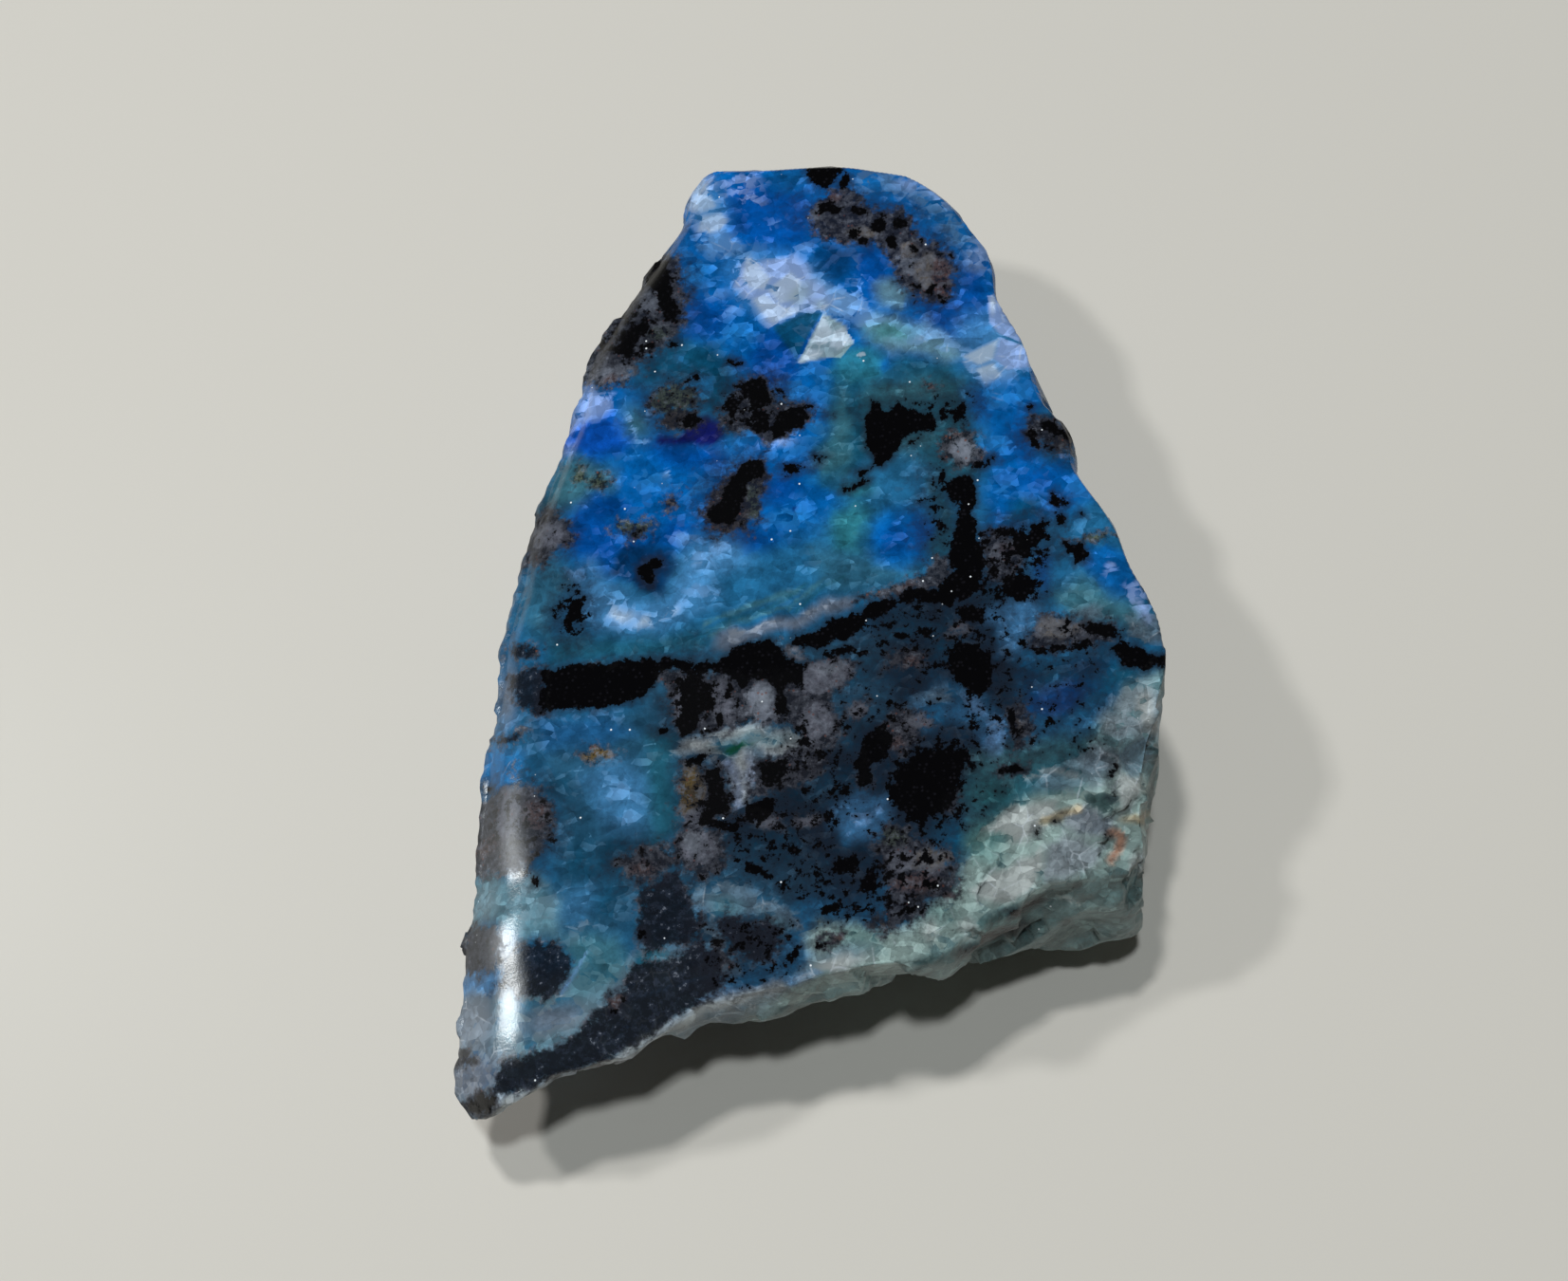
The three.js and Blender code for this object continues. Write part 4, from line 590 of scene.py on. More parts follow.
# Ore dust and small grains, from dense to sparse: how far short of solid it is in mm, and where.
DUST = [
    (0.02, [patch(5.6, -15.4, 6.4, -12.8, 9, -11.8, 12.4, -11.4, 12.4, -13.4, 11, -15.4, 11, -17.4, 9, -18,
     6.6, -17.4), oval(-14, 24, 1.8, 2), oval(-4.4, 17.4, 2, 1.8), oval(-18.2, 0.6, 1.0, 1.6),
     oval(-8.6, -7.2, 1.6, 2.6), patch(13, 5, 18, 5.6, 17.2, -0.6, 12.6, -0.6)]),
    (0.09, [patch(0.6, -20, 5.6, -20, 5.6, -24.6, 0.4, -25), patch(9, -1, 14, -0.4, 15, -4, 15, -12,
     12, -10.6, 13.8, -8, 10, -6.4, 8.6, -3), patch(-6.8, -17.4, -2.4, -14.4, 2, -12, 3, -15, 1.4, -19.4,
     0.8, -24, -5.4, -20.4), patch(-8, -25, -1.6, -24.6, -1, -29, -7, -29.4), oval(7.4, -21.4, 2.6, 3.2),
     oval(-21.6, -16.6, 2.4, 3), patch(4, -1, 9, -0.6, 9, -4, 5, -4.6), oval(6.4, -10.2, 2, 2),
     oval(-2, -13.2, 1.8, 1.2), oval(-7.2, -14.8, 1.6, 2.4), oval(-1, -10.4, 1, 2.4, 20),
     oval(-12.4, 26, 2, 4, -20), oval(19.4, -3.8, 3, 1), oval(18.6, 13, 1.6, 1.2), oval(9.8, 7, 0.9, 3)]),
    (0.17, [patch(3, -5, 9, -4.6, 14, -8, 16, -5, 16.4, -12.6, 12, -18, 9, -20, 4, -19, 2, -12),
     patch(14.6, -4.6, 21, -5, 21.6, -9, 20, -12.6, 16, -13), oval(-8, -19.2, 2, 2.2),
     oval(1, -7.4, 2.4, 3.4), oval(-24.6, -26, 1.4, 1.6), oval(9.6, 28, 1.8, 3), oval(4.4, 33, 4, 1.6, -20),
     oval(11.6, 15.8, 1.4, 1.4), oval(-20.4, 7, 1.4, 2), oval(-10.6, 18, 2, 2.2), oval(-6, 9.4, 2, 3, -20),
     oval(-12.6, -20, 2, 1.2), oval(20.4, -12.4, 1.6, 0.8), oval(8, 16, 3, 1.6)]),
]


# ---- Small helpers ----

def ease(low, high, value):
    """0 below low, 1 above high, and smooth between."""
    share = np.clip((value - low) / (high - low), 0, 1)
    return share * share * (3 - 2 * share)


# Lumps of noise: how fast finer ones fade, how much finer each kind is than the last, and how many kinds.
LUMP_FADE, LUMP_STEP, LUMP_KINDS = 0.9, 2.1, 2
# How far apart in the noise two seeds lie.
SEED_GAP = 9.7


def lumps(points, size, seed):
    """Smooth noise from about -1 to 1 at each point, in lumps of a size in mm."""
    at = points / size + SEED_GAP * seed
    return np.array([noise.fractal(p, LUMP_FADE, LUMP_STEP, LUMP_KINDS) for p in at.tolist()])


def wandered(points, size, reach, seed):
    """The points moved about by up to a reach in mm, alike over a size in mm."""
    moves = [lumps(points, size, seed + k) for k in range(3)]
    return points + reach * np.stack(moves, 1)


def read(items, name, width):
    """The numbers of a mesh's vertices or edges, one row each."""
    values = np.empty(len(items) * width, np.int32 if name == "vertices" else np.float32)
    items.foreach_get(name, values)
    return values.reshape(-1, width)


# How many of the nearest shards are weighed up for each point.
NEAR_SHARDS = 4


def shards(points, spacing, tilt, seed):
    """Fills the stone with crystal shards. For each point: the height of its shard's tilted facet, and the
    shard's middle. A point belongs to the lowest of the facets near it."""
    rng = np.random.default_rng(seed)
    blocks = np.unique(np.floor(points / spacing).astype(int), axis=0)
    middles = (blocks + rng.random(blocks.shape)) * spacing
    tilts = rng.normal(0, tilt, blocks.shape)
    tree = kdtree.KDTree(len(middles))
    for number, middle in enumerate(middles.tolist()):
        tree.insert(middle, number)
    tree.balance()
    near = np.array([[number for _, number, _ in tree.find_n(p, NEAR_SHARDS)] for p in points.tolist()])
    away = points[:, None] - middles[near]
    heights = (tilts[near] * away).sum(2) + (away ** 2).sum(2) * 0.5 / spacing
    lowest = heights.argmin(1)
    every = np.arange(len(points))
    return heights[every, lowest], middles[near[every, lowest]]


# ---- Shape ----

# Edges of the solid sharper than this stay crisp, this much.
CRISP_ANGLE, CRISPNESS = 38.0, 0.55
# Faces that look up more than the first value are cut finest, and those down to the second one less.
FINEST_ABOVE, FINE_ABOVE = 0.25, -0.5

# Triangles whose planes and shapes differ by less than these, in radians, are joined to quads.
JOIN_PLANES, JOIN_SHAPES = 0.9, 1.2
WELD = 0.001 * MM

# The polish: how much its faces look up, how deep it rolls over the edge, and where it meets the break.
POLISH_LOOKS_UP, POLISH_DEPTH, POLISH_TO_BREAK = (0.45, 0.62), (5.5, 4.5), (0.6, -0.2)
BREAK_WAVE, BREAK_WAVE_REACH = 2.5, 0.8
# The left rim, worn smooth: where it starts along X and how far it reaches below the face.
RIM_START, RIM_DEPTH = (-12, -16), (10, 6)
# Smoothing: how much, how far each step goes, in and out, and how often. The flat of the face needs none.
SMOOTHING, STEPS, ROUNDS = 0.6, (1.0, -1.03), 8
FLAT_WITHIN = 0.05
# Crystal shards of the fracture: their spacing, the slope of their facets, and how much of it shows.
BIG_SHARD, BIG_TILT, BIG_SHARE = 3.4, 0.55, 0.55
SMALL_SHARD, SMALL_TILT, SMALL_SHARE = 1.3, 0.4, 0.22
GRIT, GRIT_HEIGHT = 0.9, 0.05
# The deepest pit and the highest knob, and where the relief fades out round the edge of the face.
PIT, KNOB, FADE = -0.7, 0.5, (-2, 5)
# Faint waves of the polish, and the scallops of the left rim.
WAVE, WAVE_HEIGHT = 1.4, 0.012
SCALLOP, SCALLOP_OUT, SCALLOP_SWING = 1.5, 0.3, 0.25
# Points lower than this rest on the ground and stay where they are.
RESTING_BELOW = 0.02


def rounded_solid():
    """The solid's mesh, with its triangles joined to quads and rounded once."""
    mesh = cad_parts["azurite_stone"].data.copy()
    mesh.materials.clear()
    work = bmesh.new()
    work.from_mesh(mesh)
    bmesh.ops.remove_doubles(work, verts=work.verts, dist=WELD)
    bmesh.ops.join_triangles(work, faces=work.faces, angle_face_threshold=JOIN_PLANES,
                             angle_shape_threshold=JOIN_SHAPES)
    creases = work.edges.layers.float.new("crease_edge")
    for edge in work.edges:
        if edge.calc_face_angle(0) > math.radians(CRISP_ANGLE):
            edge[creases] = CRISPNESS
    work.to_mesh(mesh)
    work.free()
    holder = bpy.data.objects.new("holder", mesh)
    bpy.context.scene.collection.objects.link(holder)
    holder.modifiers.new("rounding", "SUBSURF").levels = 1
    evaluated = holder.evaluated_get(bpy.context.evaluated_depsgraph_get())
    rounded = bpy.data.meshes.new_from_object(evaluated)
    bpy.data.objects.remove(holder)
    return rounded


def cut_finer(mesh):
    """Cuts the faces that look up in three each way, and the walls in two."""
    work = bmesh.new()
    work.from_mesh(mesh)
    finest = {edge for face in work.faces if face.normal.z > FINEST_ABOVE for edge in face.edges}
    fine = {edge for face in work.faces if face.normal.z > FINE_ABOVE for edge in face.edges} - finest
    bmesh.ops.subdivide_edges(work, edges=list(fine), cuts=1, use_grid_fill=True)
    bmesh.ops.subdivide_edges(work, edges=list(finest), cuts=2, use_grid_fill=True)
    bmesh.ops.triangulate(work, faces=[face for face in work.faces if len(face.verts) > 4])
    work.to_mesh(mesh)
    work.free()


def smoothed(points, edges, share):
    """The points drawn towards the middle of their neighbours and out again, by a share of the way at each
    point. That levels bumps but keeps the size."""
    first, second = edges.T
    count = np.bincount(edges.ravel(), minlength=len(points))[:, None]
    for step in STEPS * ROUNDS:
        total = np.zeros_like(points)
        np.add.at(total, first, points[second])
        np.add.at(total, second, points[first])
        points = points + step * share[:, None] * (total / count - points)
    return points


def below_face(points):
    """How far each point lies below the polished plane."""
    return FACE_HEIGHT + FACE_RISE_X * points[:, 0] + FACE_RISE_Y * points[:, 1] - points[:, 2]


def polish(points, normals):
    """1 on the sawn and polished face and its roll, 0 on the fracture."""
    on_face = ease(*POLISH_LOOKS_UP, normals[:, 2]) * ease(*POLISH_DEPTH, below_face(points))
    wave = BREAK_WAVE_REACH * lumps(points, BREAK_WAVE, seed=3)
    return on_face * ease(*POLISH_TO_BREAK, points[:, 0] - points[:, 1] - BREAK_LINE + wave)


def shape_stone(mesh):
    """Gives the mesh its facets, knobs and pits. Returns its points, in the plan, and its polish."""
    points = read(mesh.vertices, "co", 3).astype(float) / MM - PLAN_ZERO
    edges = read(mesh.edges, "vertices", 2)
    normals = np.array([v.normal for v in mesh.vertices])
    gloss = polish(points, normals)
    left_rim = ease(*RIM_START, points[:, 0]) * ease(*RIM_DEPTH, below_face(points))
    off_plane = below_face(points) > FLAT_WITHIN
    points = smoothed(points, edges, SMOOTHING * np.maximum(gloss, left_rim) * off_plane)
    big = shards(points, BIG_SHARD, BIG_TILT, seed=21)[0]
    small = shards(points, SMALL_SHARD, SMALL_TILT, seed=22)[0]
    relief = BIG_SHARE * (big - big.mean()) + SMALL_SHARE * (small - small.mean())
    relief = relief + GRIT_HEIGHT * lumps(points, GRIT, seed=5)
    relief = np.clip(relief, PIT, KNOB * (1 - left_rim)) * (1 - gloss) * ease(*FADE, below_face(points))
    relief = relief + WAVE_HEIGHT * lumps(points, WAVE, seed=6) * gloss
    scallops = SCALLOP_OUT + SCALLOP_SWING * lumps(points, SCALLOP, seed=8)
    relief = relief + left_rim * (1 - gloss) * scallops
    relief[points[:, 2] < RESTING_BELOW] = 0
    points = points + normals * relief[:, None]
    points[:, 2] = np.maximum(points[:, 2], 0)
    mesh.vertices.foreach_set("co", ((points + PLAN_ZERO) * MM).ravel())
    mesh.update()
    return points, gloss


# ---- Colour of the minerals ----

# Crystals that the stains keep to: their size, the slope of their sides, and how far each draws a stain.
CRYSTAL, CRYSTAL_TILT, CRYSTAL_PULL = 1.25, 0.45, 0.12
# Edges wander from the marks alike over the first size, by up to the second, in mm.
STAIN_WANDER, STAIN_REACH = 2.2, 0.35
VEIN_WANDER, VEIN_REACH = 1.2, 0.28
# Deep in the stone everything strays further. It does so in full at this depth.
DEEP_WANDER, DEEP_REACH, DEEP = 6.0, 2.0, 12
# Stains softer than this at the edge wander, and sharper ones stay on their marks.
WANDERS_ABOVE = 0.2
# How much paler than the stain round it milk is: times the first, plus the second.
PALER = 1.4, 0.02
# How thick the milk of a full milky mineral is, and the half width of the soft edges in the matrix.
FULL_MILK, GROUND_EDGE = 1.1, 0.25
# How much less ore there is for each mm away from a dusty field.
DUST_SLOPE = 0.3


def on_the_face(points):
    """Where each point's vein comes out on the polished face."""
    depth = below_face(points)
    climb = (depth / VEINS_MEET_HEIGHT)[:, None]
    return points[:, :2] + climb * (np.array(VEINS_MEET) - points[:, :2]), depth


def paint(colour, weight, mineral, gain=1.0, lift=0.0):
    """The colour with a mineral laid over it, which a gain and a lift make paler."""
    return colour + weight[:, None] * (gain * np.array(linear(MINERALS[mineral])) + lift - colour)


def mark_depth(marks, at):
    return np.maximum.reduce([mark(at[:, 0], at[:, 1]) for mark in marks])


def lay_minerals(mesh, points, gloss):
    """Writes the stone's colours and its ore, matrix, polish and milk to the mesh, for its material."""
    middles = shards(points, CRYSTAL, CRYSTAL_TILT, seed=31)[1]
    jumped = points + CRYSTAL_PULL * (middles - points)
    stained, depth = on_the_face(wandered(jumped, STAIN_WANDER, STAIN_REACH, seed=40))
    straight = on_the_face(points)[0]
    buried = np.clip(depth / DEEP, 0, 1)[:, None]
    astray = wandered(points, DEEP_WANDER, DEEP_REACH, seed=60)[:, :2] - points[:, :2]
    stained = stained + buried * astray
    colour = np.tile(linear(MINERALS["steel"]), (len(points), 1))
    milky = np.tile(linear(MINERALS["steel"]), (len(points), 1))
    milk = np.zeros(len(points))
    for mineral, softness, strength, marks in STAINS:
        inside = mark_depth(marks, straight if softness < WANDERS_ABOVE else stained)
        weight = strength * ease(-softness, softness, inside)
        if mineral in MILKY:
            milky = paint(milky, weight, mineral)
            milk = milk + weight * (FULL_MILK - milk)
        else:
            colour = paint(colour, weight, mineral)
            milky = paint(milky, weight, mineral, *PALER)
            milk = milk * (1 - weight)
    veined = on_the_face(wandered(points, VEIN_WANDER, VEIN_REACH, seed=50))[0] + buried * astray
    ground = np.tile(linear(MINERALS["mauve"]), (len(points), 1))
    matrix = np.full(len(points), -np.inf)
    for mineral, marks in MATRIX:
        depth = mark_depth(marks, veined)
        ground = paint(ground, ease(-GROUND_EDGE, GROUND_EDGE, depth), mineral)
        matrix = np.maximum(matrix, depth)
    ore = mark_depth(ORE, veined)
    for short, marks in DUST:
        ore = np.maximum(ore, DUST_SLOPE * np.minimum(mark_depth(marks, veined), 0) - short)
    fields = {"ore": ore, "matrix": matrix, "polish": gloss, "milk": milk}
    for name, values in fields.items():
        mesh.attributes.new(name, "FLOAT", "POINT").data.foreach_set("value", values.astype(np.float32))
    for name, values in {"mineral": colour, "milky": milky, "ground": ground}.items():
        rgba = np.concatenate([values, np.ones((len(points), 1))], 1).astype(np.float32)
        mesh.attributes.new(name, "FLOAT_COLOR", "POINT").data.foreach_set("color", rgba.ravel())


# ---- Material ----

# Settings of the nodes that come up again and again.
SMOOTH = {"interpolation_type": "SMOOTHSTEP"}
COLOURS = {"data_type": "RGBA"}
TIMES = {"operation": "MULTIPLY"}
TIMES_PLUS = {"operation": "MULTIPLY_ADD"}
STRETCH = {"operation": "SCALE"}

# Soft patterns: how many there are to a millimetre, how finely they break up, and how strongly that shows.
CLOUD, RAGGED, MOTTLE, GRAIN = (0.5, 5.0, 0.6), (1.4, 5.0, 0.66), (1.9, 4.0, 0.7), (5.5, 2.0, 0.6)
# Crystals, ore grains and painted glints, by how many there are to a millimetre.
BROAD_CRYSTALS, SLANTED_CRYSTALS, FINE_CRYSTALS = 0.5, 0.8, 2.0
ORE_GRAINS, GLINTS = 3.4, 1.4
# How many bends the crystals' sides have to a millimetre, and how far they go in mm. How the slanted ones are
# turned and flattened.
BENDS, BEND = 0.5, (0.35, 0.35, 0.35)
SLANT, FLATTENED = (0.6, 0.3, 0.9), (1.0, 1.7, 1.3)
MIDDLE_GREY = (0.5, 0.5, 0.5)

# Quartz bends light this much. The fracture is rougher than the polish, and fine matrix takes less polish.
QUARTZ_IOR = 1.54
FRACTURE_ROUGHNESS, POLISH_ROUGHNESS, MATRIX_ROUGHER = 0.42, 0.17, 0.22
# How high the facets, the grit and the polish's peel stand, in mm.
FACET_HEIGHT, GRIT_BUMP, PEEL = 0.38, 0.2, 0.008


def add(tree, kind, inputs=(), **settings):
    """Adds a node to a material and returns its outputs. Its inputs are values, links or sRGB hex colours,
    in order or by socket."""
    made = tree.nodes.new("ShaderNode" + kind)
    for name, value in settings.items():
        setattr(made, name, value)
    for socket, value in inputs.items() if isinstance(inputs, dict) else enumerate(inputs):
        if isinstance(value, bpy.types.NodeSocket):
            tree.links.new(value, made.inputs[socket])
        elif isinstance(value, str):
            made.inputs[socket].default_value = (*linear(value), 1)
        else:
            made.inputs[socket].default_value = value
    return made.outputs


def azurite_quartz():
    """Azurite in quartz, sawn and polished on one face and fractured elsewhere. The polish gives soft gloss
    over cloudy crystals, and the fracture is duller and catches light on its facets."""
    material = bpy.data.materials.new("azurite_quartz_polished_and_fractured")
    material.use_nodes = True
    material.node_tree.nodes.clear()
    node = functools.partial(add, material.node_tree)

    ore, matrix, polished, milk = [node("Attribute", attribute_name=name)["Fac"]
                                   for name in ("ore", "matrix", "polish", "milk")]
    mineral, milky, ground = [node("Attribute", attribute_name=name)["Color"]
                              for name in ("mineral", "milky", "ground")]
    place = node("VectorMath", {0: node("TexCoord")["Object"], "Scale": 1 / MM}, **STRETCH)[0]
    cloud, ragged, mottle, grain = [
        node("TexNoise", {"Vector": place, "Scale": scale, "Detail": detail, "Roughness": strength})["Fac"]
        for scale, detail, strength in (CLOUD, RAGGED, MOTTLE, GRAIN)]
    bends = node("TexNoise", {"Vector": place, "Scale": BENDS, "Detail": 1.0})["Color"]
    bent = node("VectorMath", (bends, BEND, place), **TIMES_PLUS)[0]
    slanted = node("Mapping", {"Vector": bent, "Rotation": SLANT, "Scale": FLATTENED})[0]

    def total(start, *shares):
        """The start plus each value times its own weight."""
        for value, weight in shares:
            start = node("Math", (value, weight, start), **TIMES_PLUS)[0]
        return start

    def crystals(vector, scale):
        """Crystals that fill the stone, how many to a millimetre: a random colour for each, and a shade
        that runs across each one in a way of its own."""
        cells = node("TexVoronoi", {"Vector": vector, "Scale": scale})
        across = node("VectorMath", (vector, cells["Position"]), operation="SUBTRACT")[0]
        way = node("VectorMath", (cells["Color"], MIDDLE_GREY), operation="SUBTRACT")[0]
        shade = node("VectorMath", (across, way), operation="DOT_PRODUCT")["Value"]
        return node("SeparateColor", [cells["Color"]]), node("Math", (shade, scale), **TIMES)[0]

    broad, broad_shade = crystals(bent, BROAD_CRYSTALS)
    slant, slant_shade = crystals(slanted, SLANTED_CRYSTALS)
    small = crystals(bent, FINE_CRYSTALS)[0]
    rims = node("TexVoronoi", {"Vector": bent, "Scale": BROAD_CRYSTALS}, feature="DISTANCE_TO_EDGE")
    grains = node("TexVoronoi", {"Vector": place, "Scale": ORE_GRAINS})
    glints = node("TexVoronoi", {"Vector": place, "Scale": GLINTS})
    grain_kind = node("SeparateColor", [grains["Color"]])
    glint_kind = node("SeparateColor", [glints["Color"]])
    ground_tone = node("SeparateColor", [ground])[0]

    # Soft clouds in the stain, and crystals a little lighter or darker than their neighbours.
    cloudy = node("MapRange", (cloud, 0.3, 0.7, 0.72, 1.28), **SMOOTH)[0]
    uneven = node("MapRange", (ragged, 0.3, 0.7, 0.88, 1.12), **SMOOTH)[0]
    cloudy = node("Math", (cloudy, uneven), **TIMES)[0]
    facets = total(-0.6, (broad[0], 0.35), (slant[0], 0.5), (small[0], 0.35), (broad_shade, 0.35),
                   (slant_shade, 0.45))
    fine = node("MapRange", (grain, 0.3, 0.7, 0.95, 1.05), **SMOOTH)[0]
    light = node("Math", (cloudy, total(1.0, (facets, 0.6))), **TIMES)[0]
    light = node("Math", (light, fine), **TIMES)[0]
    clear = node("VectorMath", {0: mineral, "Scale": light}, **STRETCH)[0]

    # Milky crystals with crisp sides, whole where the milk is thick and in flakes where it thins out.
    flake = total(-1.08, (broad[1], 0.495), (slant[1], 0.77), (small[1], 0.385), (cloud, 0.5),
                  (slant_shade, 0.4), (milk, 1.0))
    flake = node("MapRange", (flake, 0.15, 0.55, 0.0, 0.92), **SMOOTH)[0]
    paleness = node("Math", (total(1.02, (facets, 1.3)), 0.78), operation="MAXIMUM")[0]
    frosted = node("VectorMath", {0: milky, "Scale": paleness}, **STRETCH)[0]
    colour = node("Mix", {0: flake, 6: clear, 7: frosted}, **COLOURS)[2]

    # Pale seams along the sides of some milky crystals.
    seam = node("MapRange", (rims["Distance"], 0.0, 0.05, 0.35, 0.0), **SMOOTH)[0]
    in_milk = node("MapRange", (milk, 0.5, 1.0), **SMOOTH)[0]
    in_places = node("MapRange", (cloud, 0.45, 0.6), **SMOOTH)[0]
    seam = node("Math", (seam, node("Math", (in_milk, in_places), **TIMES)[0]), **TIMES)[0]
    colour = node("Mix", {0: seam, 6: colour, 7: "#ccd8e6"}, **COLOURS)[2]

    # Dusky matrix that clouds the quartz round it, with pale and dark grains and rust specks.
    inside = total(-1.5, (ragged, 3.0), (matrix, 1.0))
    inside = node("MapRange", (inside, -0.5, 0.3, 0.0, 0.95), **SMOOTH)[0]
    shade = node("Math", (cloudy, total(0.75, (small[2], 0.7))), **TIMES)[0]
    body = node("VectorMath", {0: ground, "Scale": shade}, **STRETCH)[0]
    peppered = total(mottle, (ground_tone, 1.3))
    pale = node("MapRange", (peppered, 0.63, 0.69, 0.0, 0.5), **SMOOTH)[0]
    body = node("Mix", {0: pale, 6: body, 7: "#7d8493"}, **COLOURS)[2]
    dark = node("MapRange", (peppered, 0.56, 0.5, 0.0, 0.92), **SMOOTH)[0]
    body = node("Mix", {0: dark, 6: body, 7: "#101116"}, **COLOURS)[2]
    fleck = node("MapRange", (grains["Distance"], 0.4, 0.25), **SMOOTH)[0]
    rare = node("Math", (grain_kind[0], 0.93), operation="GREATER_THAN")[0]
    in_pale = node("MapRange", (ground_tone, 0.02, 0.04, 0.0, 0.6), **SMOOTH)[0]
    fleck = node("Math", (fleck, node("Math", (rare, in_pale), **TIMES)[0]), **TIMES)[0]
    body = node("Mix", {0: fleck, 6: body, 7: "#7a4836"}, **COLOURS)[2]
    colour = node("Mix", {0: inside, 6: colour, 7: body}, **COLOURS)[2]

    # Black ore with a faint grey grain, in a soft dark shadow within the quartz.
    edge = total(-0.9, (ragged, 1.5), (grain, 0.3), (ore, 1.0))
    shadow = node("MapRange", (edge, -0.8, 0.05, 0.0, 0.72), **SMOOTH)[0]
    colour = node("Mix", {0: shadow, 6: colour, 7: "#1b1d26"}, **COLOURS)[2]
    dusty = node("MapRange", (grains["Distance"], 0.5, 0.2, 0.0, 0.35), **SMOOTH)[0]
    dusty = node("Math", (dusty, node("MapRange", (grain_kind[1], 0.5, 1.0), **SMOOTH)[0]), **TIMES)[0]
    black = node("Mix", {0: dusty, 6: "#060608", 7: "#24242c"}, **COLOURS)[2]
    in_ore = node("MapRange", (edge, -0.04, 0.04), **SMOOTH)[0]
    colour = node("Mix", {0: in_ore, 6: colour, 7: black}, **COLOURS)[2]

    # Painted glints: stray white dots in the colour, standing in for bright faces that catch the light.
    painted_glint = node("MapRange", (glints["Distance"], 0.13, 0.07), **SMOOTH)[0]
    rare = node("Math", (glint_kind[0], 0.06), operation="LESS_THAN")[0]
    painted_glint = node("Math", (painted_glint, rare), **TIMES)[0]
    colour = node("Mix", {0: painted_glint, 6: colour, 7: "#e6eef6"}, **COLOURS)[2]

    # How rough the surface is, and how it catches the light.
    rough = node("MapRange", {0: polished, 3: FRACTURE_ROUGHNESS, 4: POLISH_ROUGHNESS})[0]
    in_pale = node("MapRange", (ground_tone, 0.02, 0.045, 0.0, MATRIX_ROUGHER), **SMOOTH)[0]
    rough = total(rough, (inside, in_pale))
    fracture = total(0.0, (slant_shade, FACET_HEIGHT), (ragged, GRIT_BUMP))
    unpolished = node("Math", (1.0, polished), operation="SUBTRACT")[0]
    height = total(0.0, (fracture, unpolished), (grain, PEEL))
    bump = node("Bump", {"Strength": 1.0, "Distance": MM, "Height": height})[0]
    stone = node("BsdfPrincipled", {"Base Color": colour, "Roughness": rough, "IOR": QUARTZ_IOR,
                                    "Normal": bump})
    node("OutputMaterial", {"Surface": stone[0]})
    return material


# ---- The stone ----

def make_stone():
    mesh = rounded_solid()
    cut_finer(mesh)
    points, gloss = shape_stone(mesh)
    lay_minerals(mesh, points, gloss)
    mesh.shade_smooth()
    mesh.materials.append(azurite_quartz())
    stone = bpy.data.objects.new("stone", mesh)
    bpy.context.scene.collection.objects.link(stone)
    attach(stone, "root")
    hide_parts("azurite_stone")


# ---- Floor, light and camera ----

# Where the camera looks, from how far and how steeply, and its width of view.
LOOK_AT = Vector((-1.9, -1.72, 14.0)) * MM
CAMERA_DISTANCE = 240 * MM
CAMERA_ELEVATION = 70.0
SENSOR, LENS = 36.0, 71.4

FLOOR = "#cfcdc8"
FLOOR_SIZE, FLOOR_ROUGHNESS = 1.6, 0.7
# Light from all round on the stone and floor, and how much of it the polish mirrors.
AMBIENT, AMBIENT_MIRRORED = 0.045, 0.005
AMBIENT_COLOUR = (1.0, 0.96, 0.8, 1)
# How bright the pale backdrop behind the floor looks.
BACKDROP = 0.3

# Lamps: colour, towards where, how far, width and height in metres, and power in watts. The window and its
# curtain only show as the gloss on the stone, and the others only light it.
WARM, COOL = (1.0, 0.985, 0.95), (0.95, 1.0, 1.0)
LAMPS = {
    "left_lamp": (WARM, (-0.513, 0.064, 0.856), 0.4, (0.028, 0.028), 0.46),
    "back_lamp": (WARM, (-0.158, 0.182, 0.971), 1.6, (0.096, 0.096), 9.95),
    "top_lamp": (COOL, (-0.05, -0.05, 0.998), 1.6, (0.096, 0.096), 9.1),
    "window": ((0.96, 1.0, 1.0), (-0.965, -0.065, 0.245), 0.087, (0.013, 0.022), 0.018),
    "curtain": ((0.9, 0.97, 1.0), (-0.95, -0.07, 0.30), 0.09, (0.026, 0.040), 0.008),
}
ONLY_IN_GLOSS = ("window", "curtain")


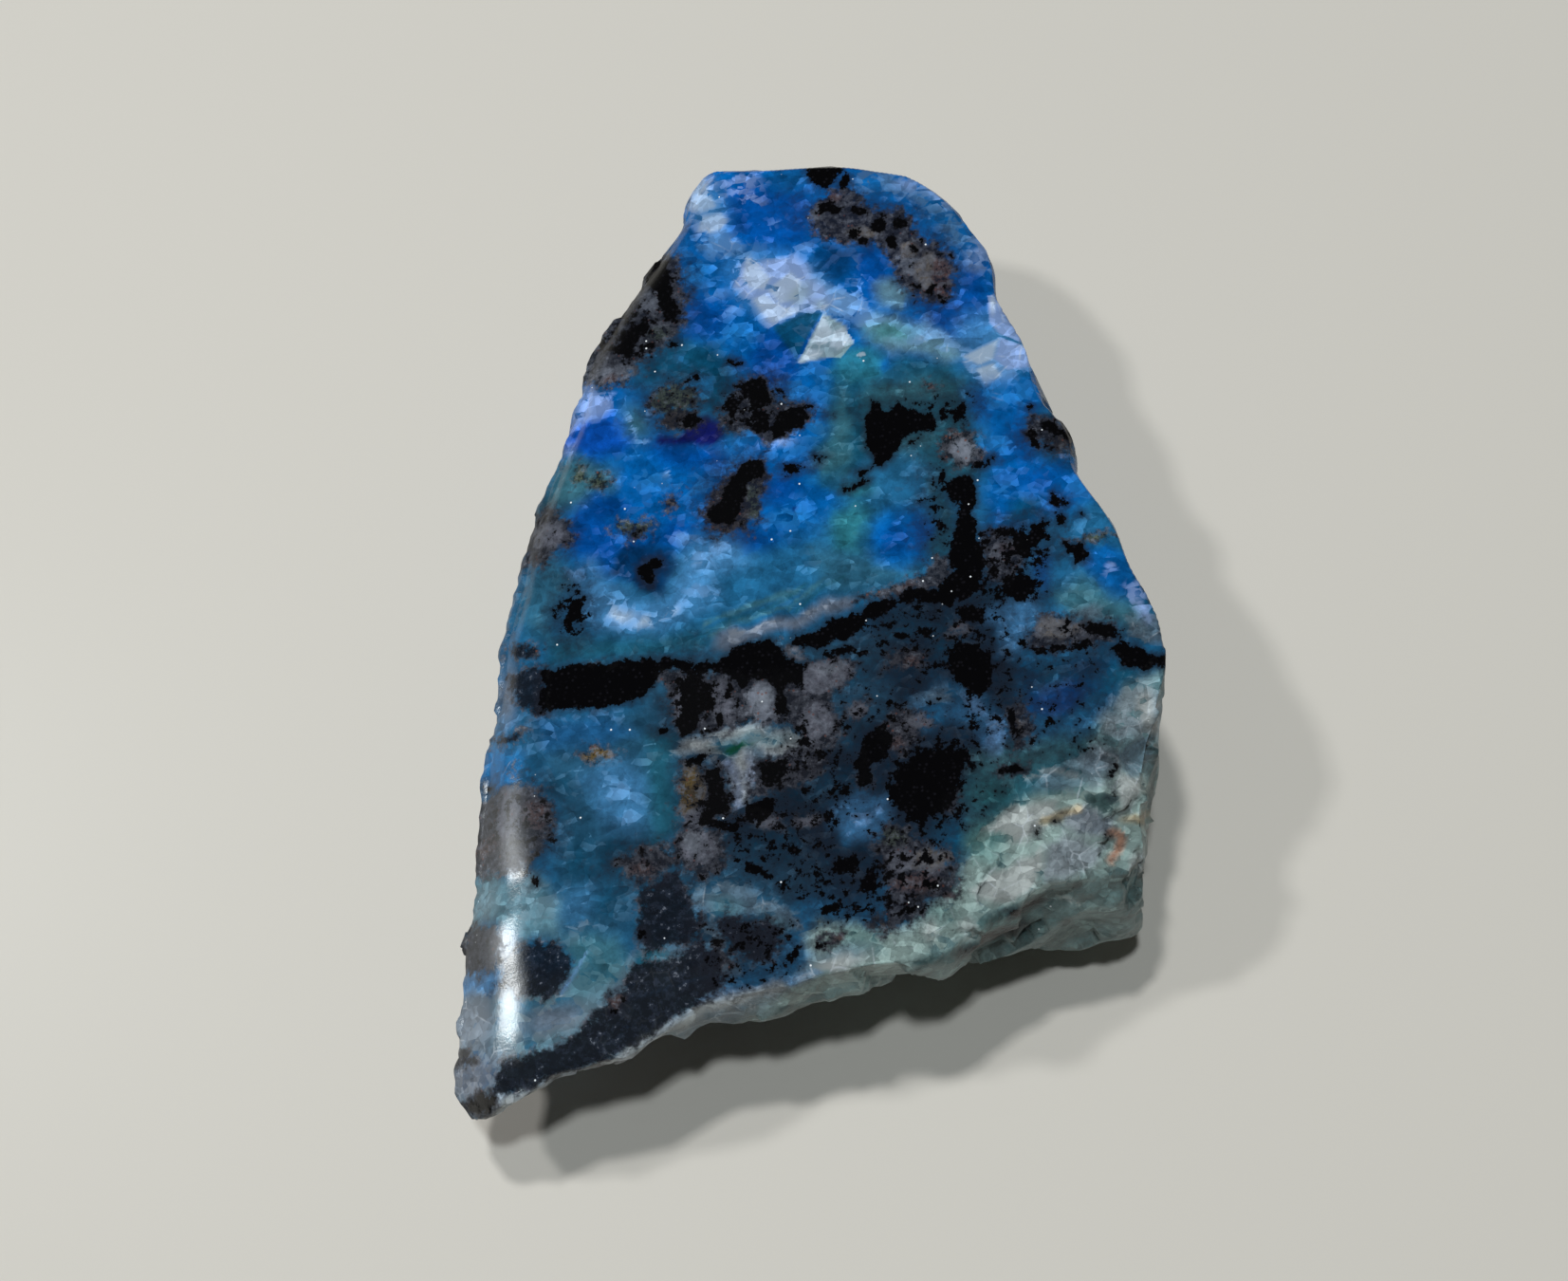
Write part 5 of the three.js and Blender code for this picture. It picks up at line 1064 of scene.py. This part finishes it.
def make_floor():
    mesh = bpy.data.meshes.new("floor")
    half = FLOOR_SIZE / 2
    corners = [(-half, -half, 0), (half, -half, 0), (half, half, 0), (-half, half, 0)]
    mesh.from_pydata(corners, [], [(0, 1, 2, 3)])
    material = bpy.data.materials.new("painted_board_floor")
    material.use_nodes = True
    surface = material.node_tree.nodes["Principled BSDF"]
    surface.inputs["Base Color"].default_value = (*linear(FLOOR), 1)
    surface.inputs["Roughness"].default_value = FLOOR_ROUGHNESS
    mesh.materials.append(material)
    floor = bpy.data.objects.new("floor", mesh)
    bpy.context.scene.collection.objects.link(floor)


def make_lamps():
    for name, (colour, towards, away, (width, height), power) in LAMPS.items():
        light = bpy.data.lights.new(name, "AREA")
        light.shape = "RECTANGLE"
        light.size = width
        light.size_y = height
        light.energy = power
        light.color = colour
        holder = bpy.data.objects.new(name, light)
        towards = Vector(towards).normalized()
        holder.location = LOOK_AT + towards * away
        holder.visible_glossy = name in ONLY_IN_GLOSS
        holder.visible_diffuse = name not in ONLY_IN_GLOSS
        holder.visible_camera = False
        holder.rotation_euler = towards.to_track_quat("Z", "Y").to_euler()
        bpy.context.scene.collection.objects.link(holder)
    world = bpy.data.worlds.new("studio")
    world.use_nodes = True
    tree = world.node_tree
    path = add(tree, "LightPath")
    around = add(tree, "MapRange", {0: path["Is Glossy Ray"], 3: AMBIENT, 4: AMBIENT_MIRRORED})[0]
    strength = add(tree, "MapRange", {0: path["Is Camera Ray"], 3: around, 4: BACKDROP})[0]
    sky = tree.nodes["Background"]
    sky.inputs["Color"].default_value = AMBIENT_COLOUR
    tree.links.new(strength, sky.inputs["Strength"])
    bpy.context.scene.world = world


def make_camera():
    camera = bpy.data.objects.new("camera", bpy.data.cameras.new("camera"))
    camera.data.sensor_width = SENSOR
    camera.data.lens = LENS
    camera.data.clip_start = 0.01
    tilt = math.radians(90 - CAMERA_ELEVATION)
    camera.rotation_euler = (tilt, 0, 0)
    camera.location = LOOK_AT + CAMERA_DISTANCE * Vector((0, -math.sin(tilt), math.cos(tilt)))
    bpy.context.scene.collection.objects.link(camera)
    bpy.context.scene.camera = camera
    bpy.context.scene.view_settings.view_transform = "Standard"


make_stone()
make_floor()
make_lamps()
make_camera()
